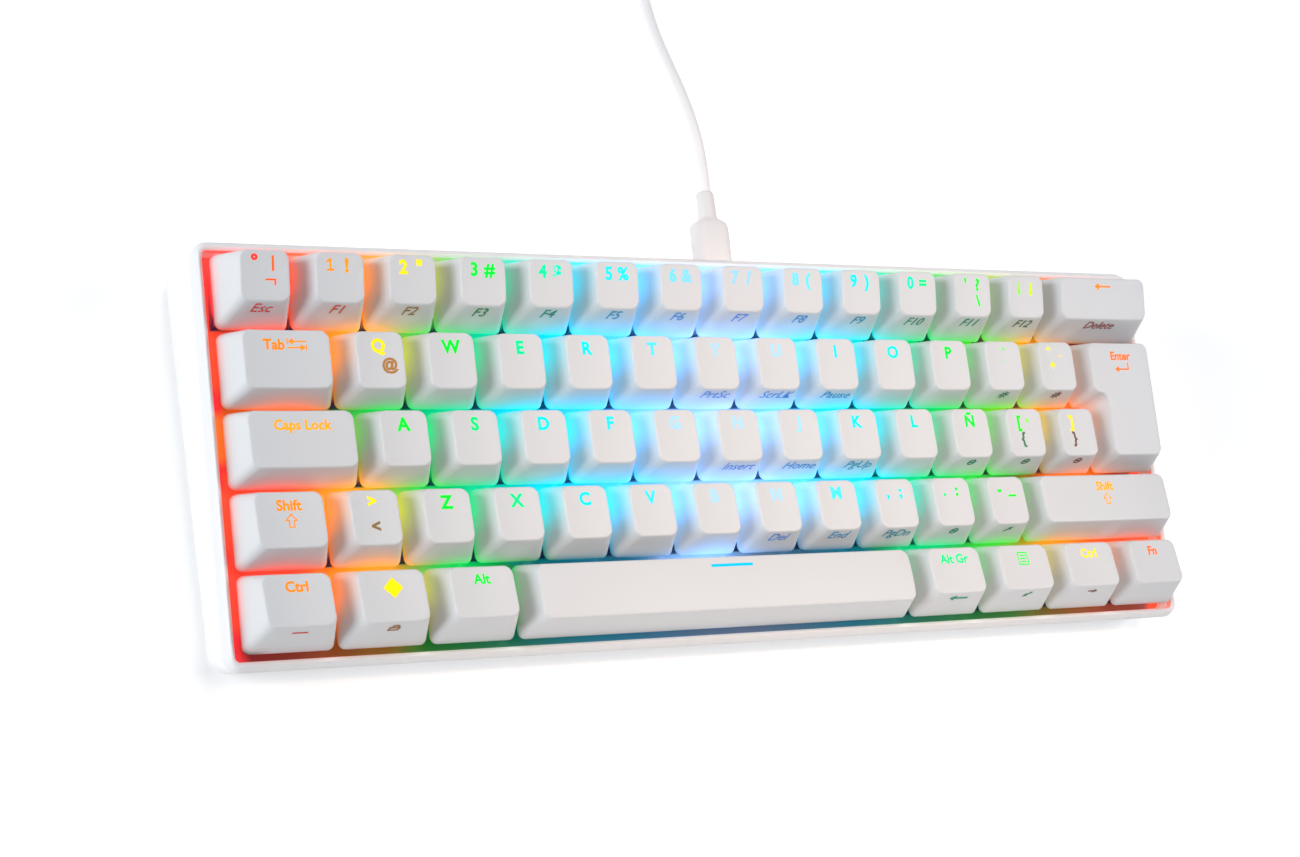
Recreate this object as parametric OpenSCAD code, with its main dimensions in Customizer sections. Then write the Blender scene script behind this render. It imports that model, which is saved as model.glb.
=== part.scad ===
// Compact 60 % mechanical keyboard with 62 keys in the ISO layout, on a detachable USB-C lead.
//
// Frame: +X to the right, +Y to the back, +Z up. The origin lies on the desk, under the middle
// of the case. The keys stand on a plane of their own, tilted back about X: its origin is the
// middle of the key grid, at the level of the keycap skirts.

/* [Key grid] */
// Distance between the centres of two 1-unit keys
key_pitch = 19.05; // [18.8:0.05:19.3]
// Gap between the skirts of neighbouring keycaps
key_gap = 0.84; // [0.7:0.02:1.2]
// Travel of a key from rest to the bottom
key_travel = 4.0; // [3:0.1:4]

/* [Keycaps] */
// Wall of the keycap at the skirt
cap_wall = 1.2; // [1:0.1:1.5]
// Thickness of the keycap under its top face
cap_roof = 1.5; // [1.2:0.1:2]
// Corner radius of the skirt, seen from above
skirt_radius = 1.6; // [1:0.1:2.5]
// Corner radius of the top face
top_radius = 2.3; // [1.5:0.1:3]
// How far the top face stands in from the skirt at the left and right
top_side_inset = 3.0; // [2.5:0.1:3.2]

/* [Case] */
// Outside length of the case
case_length = 292; // [291:0.5:296]
// Outside depth of the case
case_depth = 102.1; // [101.5:0.1:105]
// Length of the opening that the keys stand in
opening_length = 287.2; // [286.8:0.1:288]
// Depth of the opening that the keys stand in
opening_depth = 97.3; // [96.8:0.1:98]
// How far the key plane tilts back
tilt = 6; // [5:0.5:7]
// Height of the skirt plane above the desk, at the middle of the keys
plane_height = 22; // [21.8:0.1:24]
// Inward lean of the case walls, as a slope
wall_draft = 0.103; // [0.08:0.005:0.12]
// Thickness of the case floor
floor_thickness = 1.6; // [1.2:0.1:1.8]
// How far the rubber feet stand below the case
foot_stand = 1.4; // [1:0.1:2]

/* [Switches] */
// Depth of the switch plate's top below the skirts
plate_drop = 6.3; // [6:0.1:6.5]
// Thickness of the switch plate
plate_thickness = 1.5; // [1.2:0.1:1.5]
// Thickness of the circuit board
board_thickness = 1.6; // [1.2:0.1:1.6]
// Side of the square hole that a switch clips into
switch_hole = 14.0; // [13.9:0.05:14.1]

/* [Lead] */
// Diameter of the lead
cord_diameter = 3.6; // [3:0.1:4]
// Radius of the outermost turn of the wound-up lead, at its middle
coil_radius = 26; // [24:0.5:28]
// Number of layers in the wound-up lead
coil_layers = 4; // [4:2:6]
// Sideways distance of the USB-C port from the middle of the case
port_x = 8.5; // [6:0.5:12]

/* [Hidden] */

white = "#f2f2f2";
cap_colour = "#dcdce0";

// Levels on the key plane, measured from the keycap skirts upwards
skirt_z = 0;
rim_z = -0.7;
seam_z = -3.0;
plate_top_z = -plate_drop;
plate_bottom_z = plate_top_z - plate_thickness;
board_top_z = plate_top_z - 5.0;
board_bottom_z = board_top_z - board_thickness;

grid_columns = 15;
grid_rows = 5;
grid_length = grid_columns * key_pitch;
grid_depth = grid_rows * key_pitch;

// The case leans back, so its box is not quite centred on the key grid
plane_shift = -0.33;

// Keycap rows from the front to the back: how far the top face stands in from the skirt at
// the back and at the front, then its height at the back and at the front
row_profiles = [
    [1.0, 4.7, 7.6, 10.0],
    [0.9, 4.0, 7.4, 9.0],
    [0.9, 3.7, 7.9, 8.8],
    [0.9, 3.4, 8.8, 9.1],
    [1.6, 4.8, 11.7, 10.2]
];
space_profile = [1.0, 3.5, 7.6, 9.5];

// One key: its node, its row from the front, its left edge and its width in key units
function run(name, row, first, count) =
    [for (i = [0 : count - 1]) [name, row, first + i, 1]];
function named_run(names, row, first) =
    [for (i = [0 : len(names) - 1]) [str("key_", names[i]), row, first + i, 1]];

digit_row = concat(
    [["key_escape", 4, 0, 1]],
    run("digit_keys", 4, 1, 12),
    [["key_backspace", 4, 13, 2]]
);
upper_row = concat(
    [["key_tab", 3, 0, 1.5]],
    named_run(["q", "w", "e", "r", "t", "y", "u", "i", "o", "p"], 3, 1.5),
    run("other_keys", 3, 11.5, 2)
);
home_row = concat(
    [["key_caps_lock", 2, 0, 1.75]],
    named_run(["a", "s", "d", "f", "g", "h", "j", "k", "l"], 2, 1.75),
    run("other_keys", 2, 10.75, 3)
);
lower_row = concat(
    [["key_left_shift", 1, 0, 1.25]],
    run("other_keys", 1, 1.25, 1),
    named_run(["z", "x", "c", "v", "b", "n", "m"], 1, 2.25),
    run("other_keys", 1, 9.25, 3),
    [["key_right_shift", 1, 12.25, 2.75]]
);
front_row = concat(
    [for (i = [0 : 2]) ["other_keys", 0, 1.25 * i, 1.25]],
    [["key_space", 0, 3.75, 6.25]],
    [for (i = [0 : 3]) ["other_keys", 0, 10 + 1.25 * i, 1.25]]
);
plain_keys = concat(digit_row, upper_row, home_row, lower_row, front_row);

// The tall ISO enter key stands over two rows; its lower half is the narrower one
enter_centre_u = 14.375;
enter_upper_left_u = 13.5;
enter_lower_left_u = 13.75;

function unit_x(u) = u * key_pitch - grid_length / 2;
function unit_y(u) = u * key_pitch - grid_depth / 2;
function key_centre(k) = [unit_x(k[2] + k[3] / 2), unit_y(k[1] + 0.5)];
function cell_low(u, v) = [unit_x(u), unit_y(v)] + [key_gap, key_gap] / 2;
function cell_high(u, v) = [unit_x(u), unit_y(v)] - [key_gap, key_gap] / 2;
enter_centre = [unit_x(enter_centre_u), unit_y(3)];
switch_centres = concat([for (k = plain_keys) key_centre(k)], [enter_centre]);

// Wide keys are held level by a wire stabiliser: distance of its two sliders from the switch
short_reach = 11.94;
long_reach = 50;
stabilised = [
    ["backspace", [unit_x(14), unit_y(4.5)], short_reach, 0],
    ["right_shift", [unit_x(13.625), unit_y(1.5)], short_reach, 0],
    ["space", [unit_x(6.875), unit_y(0.5)], long_reach, 0],
    ["enter", enter_centre, short_reach, -90]
];

// Switch parts
flange_side = 15.6;
flange_top_z = plate_top_z + 1.0;
well_side = 11.0;
well_floor_z = board_top_z + 1.0;
hood_bottom_side = 14.8;
hood_top_side = 9.8;
hood_top_z = 0.3;
hood_wall = 1.2;
post_diameter = 3.9;
post_bottom_z = board_bottom_z - 1.4;
leg_diameter = 2.6;
leg_bore = 3.0;
leg_bottom_z = -8.6;
slider_size = [6.6, 5.6];
slider_hole = [7.2, 6.2];
slider_bottom_z = plate_top_z + 2.5;
slider_top_z = 0.1;
cross_length = 4.0;
cross_width = 1.17;
cross_top_z = 3.7;
cross_play = 0.05;
boss_bottom_z = 0.25;
boss_diameter = 5.5;
side_boss_diameter = 5.0;
led_y = 5.0;
pin_places = [[3.81, -2.54], [-2.54, -5.08]];
pin_size = [1.0, 0.3];

// Stabiliser parts
wire_diameter = 1.6;
wire_y = 8.8;
wire_z = plate_top_z + 1.2;
wire_angle = asin(key_travel / 2 / wire_y);
guide_size = [6.8, 11.5];
guide_well = [5.6, 10.1];
guide_bottom_z = board_top_z + 0.1;
guide_floor_z = guide_bottom_z + 0.4;
guide_top_z = -0.6;
guide_slider = [4.8, 4.4];
arm_notch = [2.6, 3];

// Circuit board and plate
plate_size = [286.4, 96.5];
board_size = [282.4, 92.6];
screw_places = [
    [unit_x(1.375), unit_y(3.5)],
    [unit_x(1.185), unit_y(1.5)],
    [unit_x(5.45), unit_y(0.5)],
    [unit_x(8.3), unit_y(0.5)],
    [unit_x(12.49), unit_y(1.5)],
    [unit_x(13.68), unit_y(3.5)]
];
screw_diameter = 2.0;
screw_length = 8;
screw_head = [3.6, 1.3];

// Case
case_corner = 4.5;
ledge_width = 1.5;
lip_width = 1.1;
lip_corner = 2.2;
tray_wall = 2.4;
tray_lip_wall = 1.4;
case_bottom_z = foot_stand;
tray_floor_z = case_bottom_z + floor_thickness;
foot_size = [22, 8];
foot_recess = 0.6;
foot_places = [for (x = [-120, 120]) for (y = [-39, 37]) [x, y]];
clip_size = [8, 0.45, 1.2];
clip_z = -6.2;
clip_columns = [-110, -40, 40, 110];

// USB-C port and plug, on the key plane
port_z = board_bottom_z - 1.6;
port_size = [8.94, 3.2];
port_depth = 7.35;
port_mouth_y = 47.35;
grip_size = [11, 6.4];
grip_front_y = 47.6;
grip_back_y = 65.5;
sleeve_end_y = 73.5;
sleeve_diameter = 5.0;
plug_shell_size = [8.25, 2.4];
plug_shell_length = 6.5;

// Lead, on the desk
coil_centre = [35, 182];
coil_lift = 0.6;
coil_turns = 10 + 1 / 6;
coil_inner_radius = coil_radius - coil_turns / coil_layers * cord_diameter;
coil_height = coil_layers * cord_diameter;
coil_band = [coil_inner_radius - cord_diameter / 2, coil_radius + cord_diameter / 2];
tie_width = 10;
tie_thickness = 0.45;
tie_gap = 0.12;
exit_point = to_desk([port_x, sleeve_end_y, port_z]);
lead_route = concat([exit_point], [
    [8.5, 80.3, 15.9],
    [8.5, 88, 16.0],
    [8.5, 96, 14.9],
    [8.6, 104, 12.7],
    [8.7, 112, 9.8],
    [8.8, 120, 6.8],
    [8.9, 128, 4.2],
    [9, 136, 2.5],
    [9, 144, 1.8],
    [9, 152, 1.8],
    [9, 160, 2.0],
    [9, 168, 2.4]
]);
tail_route = [
    [31.5, 209.6, 12.3],
    [37, 211.6, 10.4],
    [42.5, 213, 7.8],
    [48, 213.8, 5.2],
    [53, 214, 4.0],
    [57, 214, 4.0]
];
usb_a_start = [57, 214, 4.0];
usb_a_relief = [5.5, 5];
usb_a_body = [26, 16, 8];
usb_a_shell = [12, 12, 4.5];

single_keys = concat(
    ["key_escape", "key_backspace", "key_tab"],
    [for (c = "qwertyuiop") str("key_", c)],
    ["key_enter", "key_caps_lock"],
    [for (c = "asdfghjkl") str("key_", c)],
    ["key_left_shift"],
    [for (c = "zxcvbnm") str("key_", c)],
    ["key_right_shift", "key_space"]
);
key_nodes = concat(single_keys, ["digit_keys", "other_keys"]);

// ---------------------------------------------------------------- helpers

// A point of the key plane, given on the desk
function to_desk(p) = [
    p.x,
    plane_shift + p.y * cos(tilt) - p.z * sin(tilt),
    plane_height + p.y * sin(tilt) + p.z * cos(tilt)
];

module on_key_plane() {
    translate([0, plane_shift, plane_height])
        rotate([tilt, 0, 0])
            children();
}

// A block centred on X and Y that stands between two levels
module block(size, z0, z1) {
    translate([-size.x / 2, -size.y / 2, z0])
        cube([size.x, size.y, z1 - z0]);
}

// A round post that stands between two levels
module post(diameter, z0, z1, sides = 32) {
    translate([0, 0, z0])
        cylinder(d = diameter, h = z1 - z0, $fn = sides);
}

// A rectangle with round corners, made of true arcs
module soft_rectangle(size, radius) {
    square([size.x - 2 * radius, size.y], center = true);
    square([size.x, size.y - 2 * radius], center = true);
    for (x = [-1, 1]) {
        for (y = [-1, 1]) {
            translate([x * (size.x / 2 - radius), y * (size.y / 2 - radius)])
                circle(r = radius, $fn = 32);
        }
    }
}

module soft_block(size, radius, z0, z1) {
    translate([0, 0, z0])
        linear_extrude(z1 - z0)
            soft_rectangle(size, radius);
}

// A bar with a rounded section, lying along Y between two distances
module bar_along_y(section, radius, y0, y1) {
    translate([0, y1, 0])
        rotate([90, 0, 0])
            linear_extrude(y1 - y0)
                soft_rectangle(section, radius);
}

// Points round a rectangle with round corners, whose level slopes from the front to the back
corner_steps = 4;
function ring(low, high, radius, z_front, z_back) = [
    for (corner = [0 : 3])
        for (step = [0 : corner_steps])
            let (
                angle = 90 * (corner + step / corner_steps),
                x = (corner == 0 || corner == 3 ? high.x - radius : low.x + radius) + radius * cos(angle),
                y = (corner < 2 ? high.y - radius : low.y + radius) + radius * sin(angle),
                share = (y - low.y) / (high.y - low.y)
            )
            [x, y, z_front + share * (z_back - z_front)]
];

// Solid between a lower and an upper ring with the same number of points
module loft(lower, upper) {
    count = len(lower);
    walls = [
        for (k = [0 : count - 1])
            let (n = (k + 1) % count)
                for (half = [[k, count + n, n], [k, count + k, count + n]]) half
    ];
    floor_face = [[for (k = [0 : count - 1]) k]];
    roof_face = [[for (k = [count - 1 : -1 : 0]) count + k]];
    polyhedron(points = concat(lower, upper), faces = concat(walls, floor_face, roof_face));
}

// Closed tube swept along a list of points
function unit(v) = v / norm(v);
function direction_at(path, i) =
    unit(path[min(i + 1, len(path) - 1)] - path[max(i - 1, 0)]);
function ring_at(path, i, radius, sides) =
    let (
        along = direction_at(path, i),
        side = unit(cross(along, [0, 0, 1])),
        lift = cross(side, along)
    )
    [
        for (k = [0 : sides - 1])
            path[i] + radius * (cos(360 * k / sides) * side + sin(360 * k / sides) * lift)
    ];

module swept_tube(path, diameter, sides = 8) {
    rings = len(path);
    last = (rings - 1) * sides;
    points = [for (i = [0 : rings - 1]) each ring_at(path, i, diameter / 2, sides)];
    walls = [
        for (i = [0 : rings - 2])
            for (k = [0 : sides - 1])
                let (n = (k + 1) % sides)
                [i * sides + k, i * sides + n, (i + 1) * sides + n, (i + 1) * sides + k]
    ];
    start_cap = [[for (k = [sides - 1 : -1 : 0]) k]];
    end_cap = [[for (k = [0 : sides - 1]) last + k]];
    polyhedron(points = points, faces = concat(walls, start_cap, end_cap));
}

// ---------------------------------------------------------------- case

// The case outline at the seam, leaning inwards towards a level far below the desk
module leaning_block(inset, z_top, corner) {
    depth = 36;
    lean = wall_draft * depth;
    top_lean = wall_draft * (seam_z - z_top);
    top = [case_length / 2 - inset - top_lean, case_depth / 2 - inset - top_lean];
    base = [case_length / 2 - inset - lean, case_depth / 2 - inset - lean];
    loft(
        ring(-base, base, corner, seam_z - depth, seam_z - depth),
        ring(-top, top, corner, z_top, z_top)
    );
}

module above_level(z) {
    translate([-200, -100, z])
        cube([400, 200, 80]);
}

// Straight ledges along the four walls, under the edge of the switch plate
module plate_ledges() {
    reach = [case_length / 2 - 2.7, case_depth / 2 - 2.7];
    inner = [plate_size.x / 2 - ledge_width - 0.1, plate_size.y / 2 - ledge_width - 0.1];
    for (side = [-1, 1]) {
        translate([side * (reach.x + inner.x) / 2, 0, 0])
            block([reach.x - inner.x, 2 * reach.y - 6], plate_bottom_z - 2, plate_bottom_z);
        translate([0, side * (reach.y + inner.y) / 2, 0])
            block([2 * reach.x - 6, reach.y - inner.y], plate_bottom_z - 2, plate_bottom_z);
    }
}

module screw_bosses() {
    for (p = screw_places) {
        translate([p.x, p.y, 0]) {
            post(6, -26, board_bottom_z);
            post(4, board_bottom_z - 1, plate_bottom_z);
        }
    }
}

module case_bottom() {
    color(white)
        difference() {
            union() {
                difference() {
                    intersection() {
                        on_key_plane()
                            leaning_block(0, seam_z, case_corner);
                        above_level(case_bottom_z);
                    }
                    intersection() {
                        on_key_plane()
                            leaning_block(tray_wall, plate_bottom_z, case_corner - tray_wall);
                        above_level(tray_floor_z);
                    }
                    on_key_plane()
                        soft_block(
                            [case_length - 2 * tray_lip_wall, case_depth - 2 * tray_lip_wall],
                            case_corner - tray_lip_wall, plate_bottom_z, 5
                        );
                }
                on_key_plane()
                    plate_ledges();
                intersection() {
                    on_key_plane()
                        screw_bosses();
                    above_level(case_bottom_z + 0.2);
                }
            }
            on_key_plane() {
                for (p = screw_places) {
                    translate([p.x, p.y, 0])
                        post(screw_diameter + 0.1, plate_top_z - screw_length - 0.4, 0);
                }
                translate([port_x, 0, port_z])
                    bar_along_y([grip_size.x + 1.2, grip_size.y + 1.2], 3, 44, 60);
                clips(0.15);
            }
            for (p = foot_places) {
                translate([p.x, p.y, 0])
                    soft_block([foot_size.x + 0.2, foot_size.y + 0.2], 4, -1, foot_stand + foot_recess);
            }
        }
}

// Snap hooks on the frame's skirt, or with some play the pockets that they catch in
module clips(play) {
    skirt_y = case_depth / 2 - tray_lip_wall - 0.1;
    for (x = clip_columns) {
        for (side = [-1, 1]) {
            translate([x, side * (skirt_y + clip_size.y / 2 - 0.1 + play / 2), clip_z])
                cube(
                    [clip_size.x + 2 * play, clip_size.y + 0.2 + play, clip_size.z + 2 * play],
                    center = true
                );
        }
    }
}

module case_frame() {
    lip = [opening_length / 2 + lip_width, opening_depth / 2 + lip_width];
    half = [case_length / 2, case_depth / 2];
    color(white)
        on_key_plane() {
            difference() {
                union() {
                    loft(
                        ring(-half, half, case_corner, seam_z, seam_z),
                        ring(-lip, lip, lip_corner, rim_z, rim_z)
                    );
                    soft_block(
                        [case_length - 2 * tray_lip_wall - 0.2, case_depth - 2 * tray_lip_wall - 0.2],
                        case_corner - tray_lip_wall, seam_z - 4.5, seam_z + 0.5
                    );
                    clips(0);
                }
                soft_block([opening_length, opening_depth], 1.2, -20, 5);
            }
        }
}

module rubber_feet() {
    color("#3a3a3c")
        for (p = foot_places) {
            translate([p.x, p.y, 0])
                soft_block(foot_size, 3.9, 0, foot_stand + foot_recess);
        }
}

// ---------------------------------------------------------------- plate and board

module at_stabilisers() {
    for (s = stabilised) {
        translate([s[1].x, s[1].y, 0])
            rotate([0, 0, s[3]])
                for (side = [-1, 1]) {
                    translate([side * s[2], 0, 0])
                        children();
                }
    }
}

module switch_plate() {
    color("#ececee")
        on_key_plane()
            difference() {
                soft_block(plate_size, 1.5, plate_bottom_z, plate_top_z);
                for (c = switch_centres) {
                    translate([c.x, c.y, 0])
                        block([switch_hole, switch_hole], -20, 0);
                }
                at_stabilisers() {
                    block([guide_size.x + 0.2, guide_size.y + 0.2], -20, 0);
                    translate([0, wire_y - arm_notch.y / 2 - 1, 0])
                        block(arm_notch, -20, 0);
                }
                for (p = screw_places) {
                    translate([p.x, p.y, 0])
                        post(screw_diameter + 0.2, -20, 0);
                }
            }
}

module plate_screws() {
    color("silver")
        on_key_plane()
            for (p = screw_places) {
                translate([p.x, p.y, 0])
                    difference() {
                        union() {
                            post(screw_head.x, plate_top_z, plate_top_z + screw_head.y);
                            post(screw_diameter, plate_top_z - screw_length, plate_top_z + 0.1);
                        }
                        for (turn = [0, 90]) {
                            rotate([0, 0, turn])
                                block([2.0, 0.5], plate_top_z + 0.6, 0);
                        }
                    }
            }
}

module circuit_board() {
    color("#1f5c3a")
        on_key_plane()
            difference() {
                soft_block(board_size, 1.5, board_bottom_z, board_top_z);
                for (c = switch_centres) {
                    translate([c.x, c.y, 0]) {
                        post(post_diameter + 0.3, -20, 0);
                        translate([0, led_y, 0])
                            block([3.5, 3.1], -20, 0);
                        for (p = pin_places) {
                            translate([p.x, p.y, 0])
                                post(1.5, -20, 0, 16);
                        }
                    }
                }
                for (p = screw_places) {
                    translate([p.x, p.y, 0])
                        post(4.6, -20, 0);
                }
            }
}

// Key lights set into the board from below, then the chips beside the port
module board_components() {
    chips = [
        [[-2.4, 28.7], [6, 6, 1.0]],
        [[-60, -9.4], [6, 6, 0.9]],
        [[60, -9.4], [6, 6, 0.9]],
        [[10, 28.7], [5, 4, 1.2]],
        [[26.5, 42.5], [3, 1.7, 1.1]],
        [[31, 42.5], [2, 1.2, 0.8]]
    ];
    color("#202024")
        on_key_plane() {
            for (c = switch_centres) {
                translate([c.x, c.y + led_y, 0]) {
                    block([3.2, 2.8], board_bottom_z - 0.5, board_top_z - 0.2);
                    block([5.2, 1.2], board_bottom_z - 0.3, board_bottom_z);
                }
            }
            for (chip = chips) {
                translate([chip[0].x, chip[0].y, 0])
                    block([chip[1].x, chip[1].y], board_bottom_z - chip[1].z, board_bottom_z);
            }
        }
}

module usb_port() {
    back_y = port_mouth_y - port_depth;
    inner = [port_size.x - 0.5, port_size.y - 0.5];
    color("silver")
        on_key_plane()
            translate([port_x, 0, port_z]) {
                difference() {
                    bar_along_y(port_size, port_size.y / 2 - 0.05, back_y, port_mouth_y);
                    bar_along_y(inner, inner.y / 2 - 0.05, back_y + 0.5, port_mouth_y + 1);
                }
                bar_along_y([6.6, 0.6], 0.2, back_y + 0.3, port_mouth_y - 1);
            }
}

// ---------------------------------------------------------------- switches

module at_switches() {
    on_key_plane()
        for (c = switch_centres) {
            translate([c.x, c.y, 0])
                children();
        }
}

module lower_housing() {
    difference() {
        union() {
            block([switch_hole - 0.1, switch_hole - 0.1], board_top_z, plate_top_z + 0.5);
            block([flange_side, flange_side], plate_top_z, flange_top_z);
            post(post_diameter, post_bottom_z, board_top_z + 0.5);
        }
        block([well_side, well_side], well_floor_z, 0);
        post(leg_bore, post_bottom_z + 1.5, well_floor_z + 1);
        for (p = pin_places) {
            translate([p.x, p.y, 0])
                block([pin_size.x + 0.1, pin_size.y + 0.1], -20, well_floor_z + 1);
        }
    }
}

module switch_housings_lower() {
    color("#e8e8ea")
        at_switches()
            lower_housing();
}

module tapered_square(bottom_side, top_side, z0, z1) {
    corners = [[1, 1], [-1, 1], [-1, -1], [1, -1]] / 2;
    loft(
        [for (c = corners) [c.x * bottom_side, c.y * bottom_side, z0]],
        [for (c = corners) [c.x * top_side, c.y * top_side, z1]]
    );
}

module switch_housings_upper() {
    wall = 2 * hood_wall;
    color("#f4f4f6")
        at_switches()
            difference() {
                tapered_square(hood_bottom_side, hood_top_side, flange_top_z, hood_top_z);
                tapered_square(
                    hood_bottom_side - wall, hood_top_side - wall,
                    flange_top_z - 0.01, hood_top_z - hood_wall
                );
                block(slider_hole, flange_top_z, hood_top_z + 1);
            }
}

module switch_contacts() {
    color("#d8b25a")
        at_switches()
            for (p = pin_places) {
                translate([p.x, p.y, 0])
                    block(pin_size, board_bottom_z - 1.4, well_floor_z + 1.5);
            }
}

module switch_springs() {
    color("#c8c8cc")
        at_switches()
            difference() {
                post(4.2, well_floor_z, slider_bottom_z, 24);
                post(3.2, well_floor_z - 1, slider_bottom_z + 1, 24);
            }
}

// The moving stem of a switch: slider, guide leg and the cross that carries the keycap
module stem_cross(z0, z1, play) {
    long = cross_length + 2 * play;
    thin = cross_width + 2 * play;
    block([long, thin], z0, z1);
    block([thin, long], z0, z1);
}

module switch_stem() {
    color("#b83a3a") {
        block(slider_size, slider_bottom_z, slider_top_z);
        stem_cross(slider_top_z - 0.1, cross_top_z, 0);
        post(leg_diameter, leg_bottom_z, slider_bottom_z + 0.1);
    }
}

// ---------------------------------------------------------------- stabilisers

// Guide of one stabiliser slider, with the lug that the wire turns in
module stabiliser_guide() {
    difference() {
        union() {
            block(guide_size, guide_bottom_z, guide_top_z);
            translate([0, (guide_size.y / 2 + wire_y + 1.4) / 2 - 0.2, 0])
                block([guide_size.x, wire_y + 1.4 - guide_size.y / 2 + 0.4], plate_top_z, wire_z + 1);
        }
        block(guide_well, guide_floor_z, 0);
        translate([-10, wire_y, wire_z])
            rotate([0, 90, 0])
                cylinder(d = wire_diameter + 0.3, h = 20, $fn = 32);
        translate([0, wire_y, 0])
            block([2.6, 10], wire_z - 2.2, 0);
    }
}

module stabiliser_guides() {
    color("#e4e4e6")
        on_key_plane()
            at_stabilisers()
                stabiliser_guide();
}

// Wire of one stabiliser: a straight bar with an arm at each end, level at half travel
module stabiliser_wire(index) {
    place = stabilised[index];
    reach = place[2];
    color("silver")
        on_key_plane()
            translate([place[1].x, place[1].y, 0])
                rotate([0, 0, place[3]])
                    translate([0, wire_y, wire_z]) {
                        translate([-reach, 0, 0])
                            rotate([0, 90, 0])
                                cylinder(d = wire_diameter, h = 2 * reach, $fn = 24);
                        for (side = [-1, 1]) {
                            translate([side * reach, 0, 0]) {
                                sphere(d = wire_diameter, $fn = 24);
                                rotate([90 - wire_angle, 0, 0])
                                    cylinder(d = wire_diameter, h = wire_y - 0.9, $fn = 24);
                            }
                        }
                    }
}

module stabiliser_slider() {
    arm_z = wire_z + key_travel / 2;
    color("#e4e4e6")
        difference() {
            union() {
                block(guide_slider, plate_top_z - 0.2, slider_top_z);
                stem_cross(slider_top_z - 0.1, cross_top_z, 0);
            }
            translate([0, 2, 0])
                block([2.4, 4], arm_z - 1.6, arm_z + 1.6);
        }
}

// ---------------------------------------------------------------- keys

// Block between a skirt outline and a smaller top face that slopes from front to back. With a
// wall and a roof it is the hollow under the keycap instead.
module cap_block(low, high, profile, wall, roof) {
    inset = [wall, wall];
    low_side = [top_side_inset, profile[1]];
    high_side = [top_side_inset, profile[0]];
    skirt_level = wall > 0 ? skirt_z - 0.01 : skirt_z;
    loft(
        ring(low + inset, high - inset, skirt_radius - 0.6 * wall, skirt_level, skirt_level),
        ring(
            low + inset + low_side, high - inset - high_side,
            top_radius - 0.6 * wall, profile[3] - roof, profile[2] - roof
        )
    );
}

// Level inside the roof of a keycap, over its middle, that a socket grows up to
function socket_top(profile) = (profile[2] + profile[3]) / 2 - cap_roof + 0.7;

// Socket under the keycap that takes a stem
module cap_socket(diameter, roof_z) {
    difference() {
        post(diameter, boss_bottom_z, roof_z, 24);
        stem_cross(0, cross_top_z + 0.3, cross_play);
    }
}

module plain_cap(low, high, profile) {
    middle = (low + high) / 2;
    difference() {
        cap_block(low, high, profile, 0, 0);
        cap_block(low, high, profile, cap_wall, cap_roof);
    }
    translate([middle.x, middle.y, 0])
        cap_socket(boss_diameter, socket_top(profile));
}

// Sockets and sliders that a wide key has on both sides of its switch
module side_sockets(index, profile) {
    place = stabilised[index];
    translate([place[1].x, place[1].y, 0])
        rotate([0, 0, place[3]])
            for (side = [-1, 1]) {
                translate([side * place[2], 0, 0]) {
                    cap_socket(side_boss_diameter, socket_top(profile));
                    stabiliser_slider();
                }
            }
}

module key(k) {
    profile = k[0] == "key_space" ? space_profile : row_profiles[k[1]];
    centre = key_centre(k);
    color(cap_colour)
        plain_cap(cell_low(k[2], k[1]), cell_high(k[2] + k[3], k[1] + 1), profile);
    translate([centre.x, centre.y, 0])
        switch_stem();
    if (k[0] == "key_backspace") side_sockets(0, profile);
    if (k[0] == "key_right_shift") side_sockets(1, profile);
    if (k[0] == "key_space") side_sockets(2, profile);
}

// The enter key: a tall narrow cap with a short wider one across its back half
enter_profile = [row_profiles[3][0], row_profiles[2][1], row_profiles[3][2], row_profiles[2][3]];
enter_back_profile = [row_profiles[3][0], row_profiles[3][1], row_profiles[3][2], row_profiles[3][2]];

module enter_halves(wall, roof) {
    cap_block(
        cell_low(enter_lower_left_u, 2), cell_high(grid_columns, 4), enter_profile, wall, roof
    );
    cap_block(
        cell_low(enter_upper_left_u, 3), cell_high(grid_columns, 4), enter_back_profile, wall, roof
    );
}

module enter_key() {
    color(cap_colour) {
        difference() {
            enter_halves(0, 0);
            enter_halves(cap_wall, cap_roof);
        }
        translate([enter_centre.x, enter_centre.y, 0])
            cap_socket(boss_diameter, socket_top(enter_profile));
    }
    translate([enter_centre.x, enter_centre.y, 0])
        switch_stem();
    side_sockets(3, enter_profile);
}

// Every key that belongs to one node
module keys_of(name) {
    on_key_plane() {
        for (k = plain_keys) {
            if (k[0] == name) key(k);
        }
        if (name == "key_enter") enter_key();
    }
}

// ---------------------------------------------------------------- lead

module cable_plug() {
    color(white)
        on_key_plane()
            translate([port_x, 0, port_z]) {
                bar_along_y(grip_size, 2.6, grip_front_y, grip_back_y);
                translate([0, grip_back_y, 0])
                    rotate([-90, 0, 0])
                        cylinder(d = sleeve_diameter, h = sleeve_end_y - grip_back_y, $fn = 32);
            }
}

module cable_plug_shell() {
    shell_y = grip_front_y - plug_shell_length;
    inner = [plug_shell_size.x - 0.5, plug_shell_size.y - 0.5];
    color("silver")
        on_key_plane()
            translate([port_x, 0, port_z])
                difference() {
                    bar_along_y(plug_shell_size, plug_shell_size.y / 2 - 0.05, shell_y, grip_front_y);
                    bar_along_y(inner, inner.y / 2 - 0.05, shell_y - 1, grip_front_y - 0.3);
                }
}

module cable_lead() {
    color(white) {
        swept_tube(lead_route, cord_diameter);
        swept_tube(tail_route, cord_diameter);
    }
}

// Section across the bundle of turns, made larger all round
module bundle_section(margin) {
    bundle = [coil_band[1] - coil_band[0], coil_height];
    translate([(coil_band[0] + coil_band[1]) / 2, coil_height / 2])
        soft_rectangle(bundle + 2 * [margin, margin], cord_diameter / 2 + margin);
}

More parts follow.
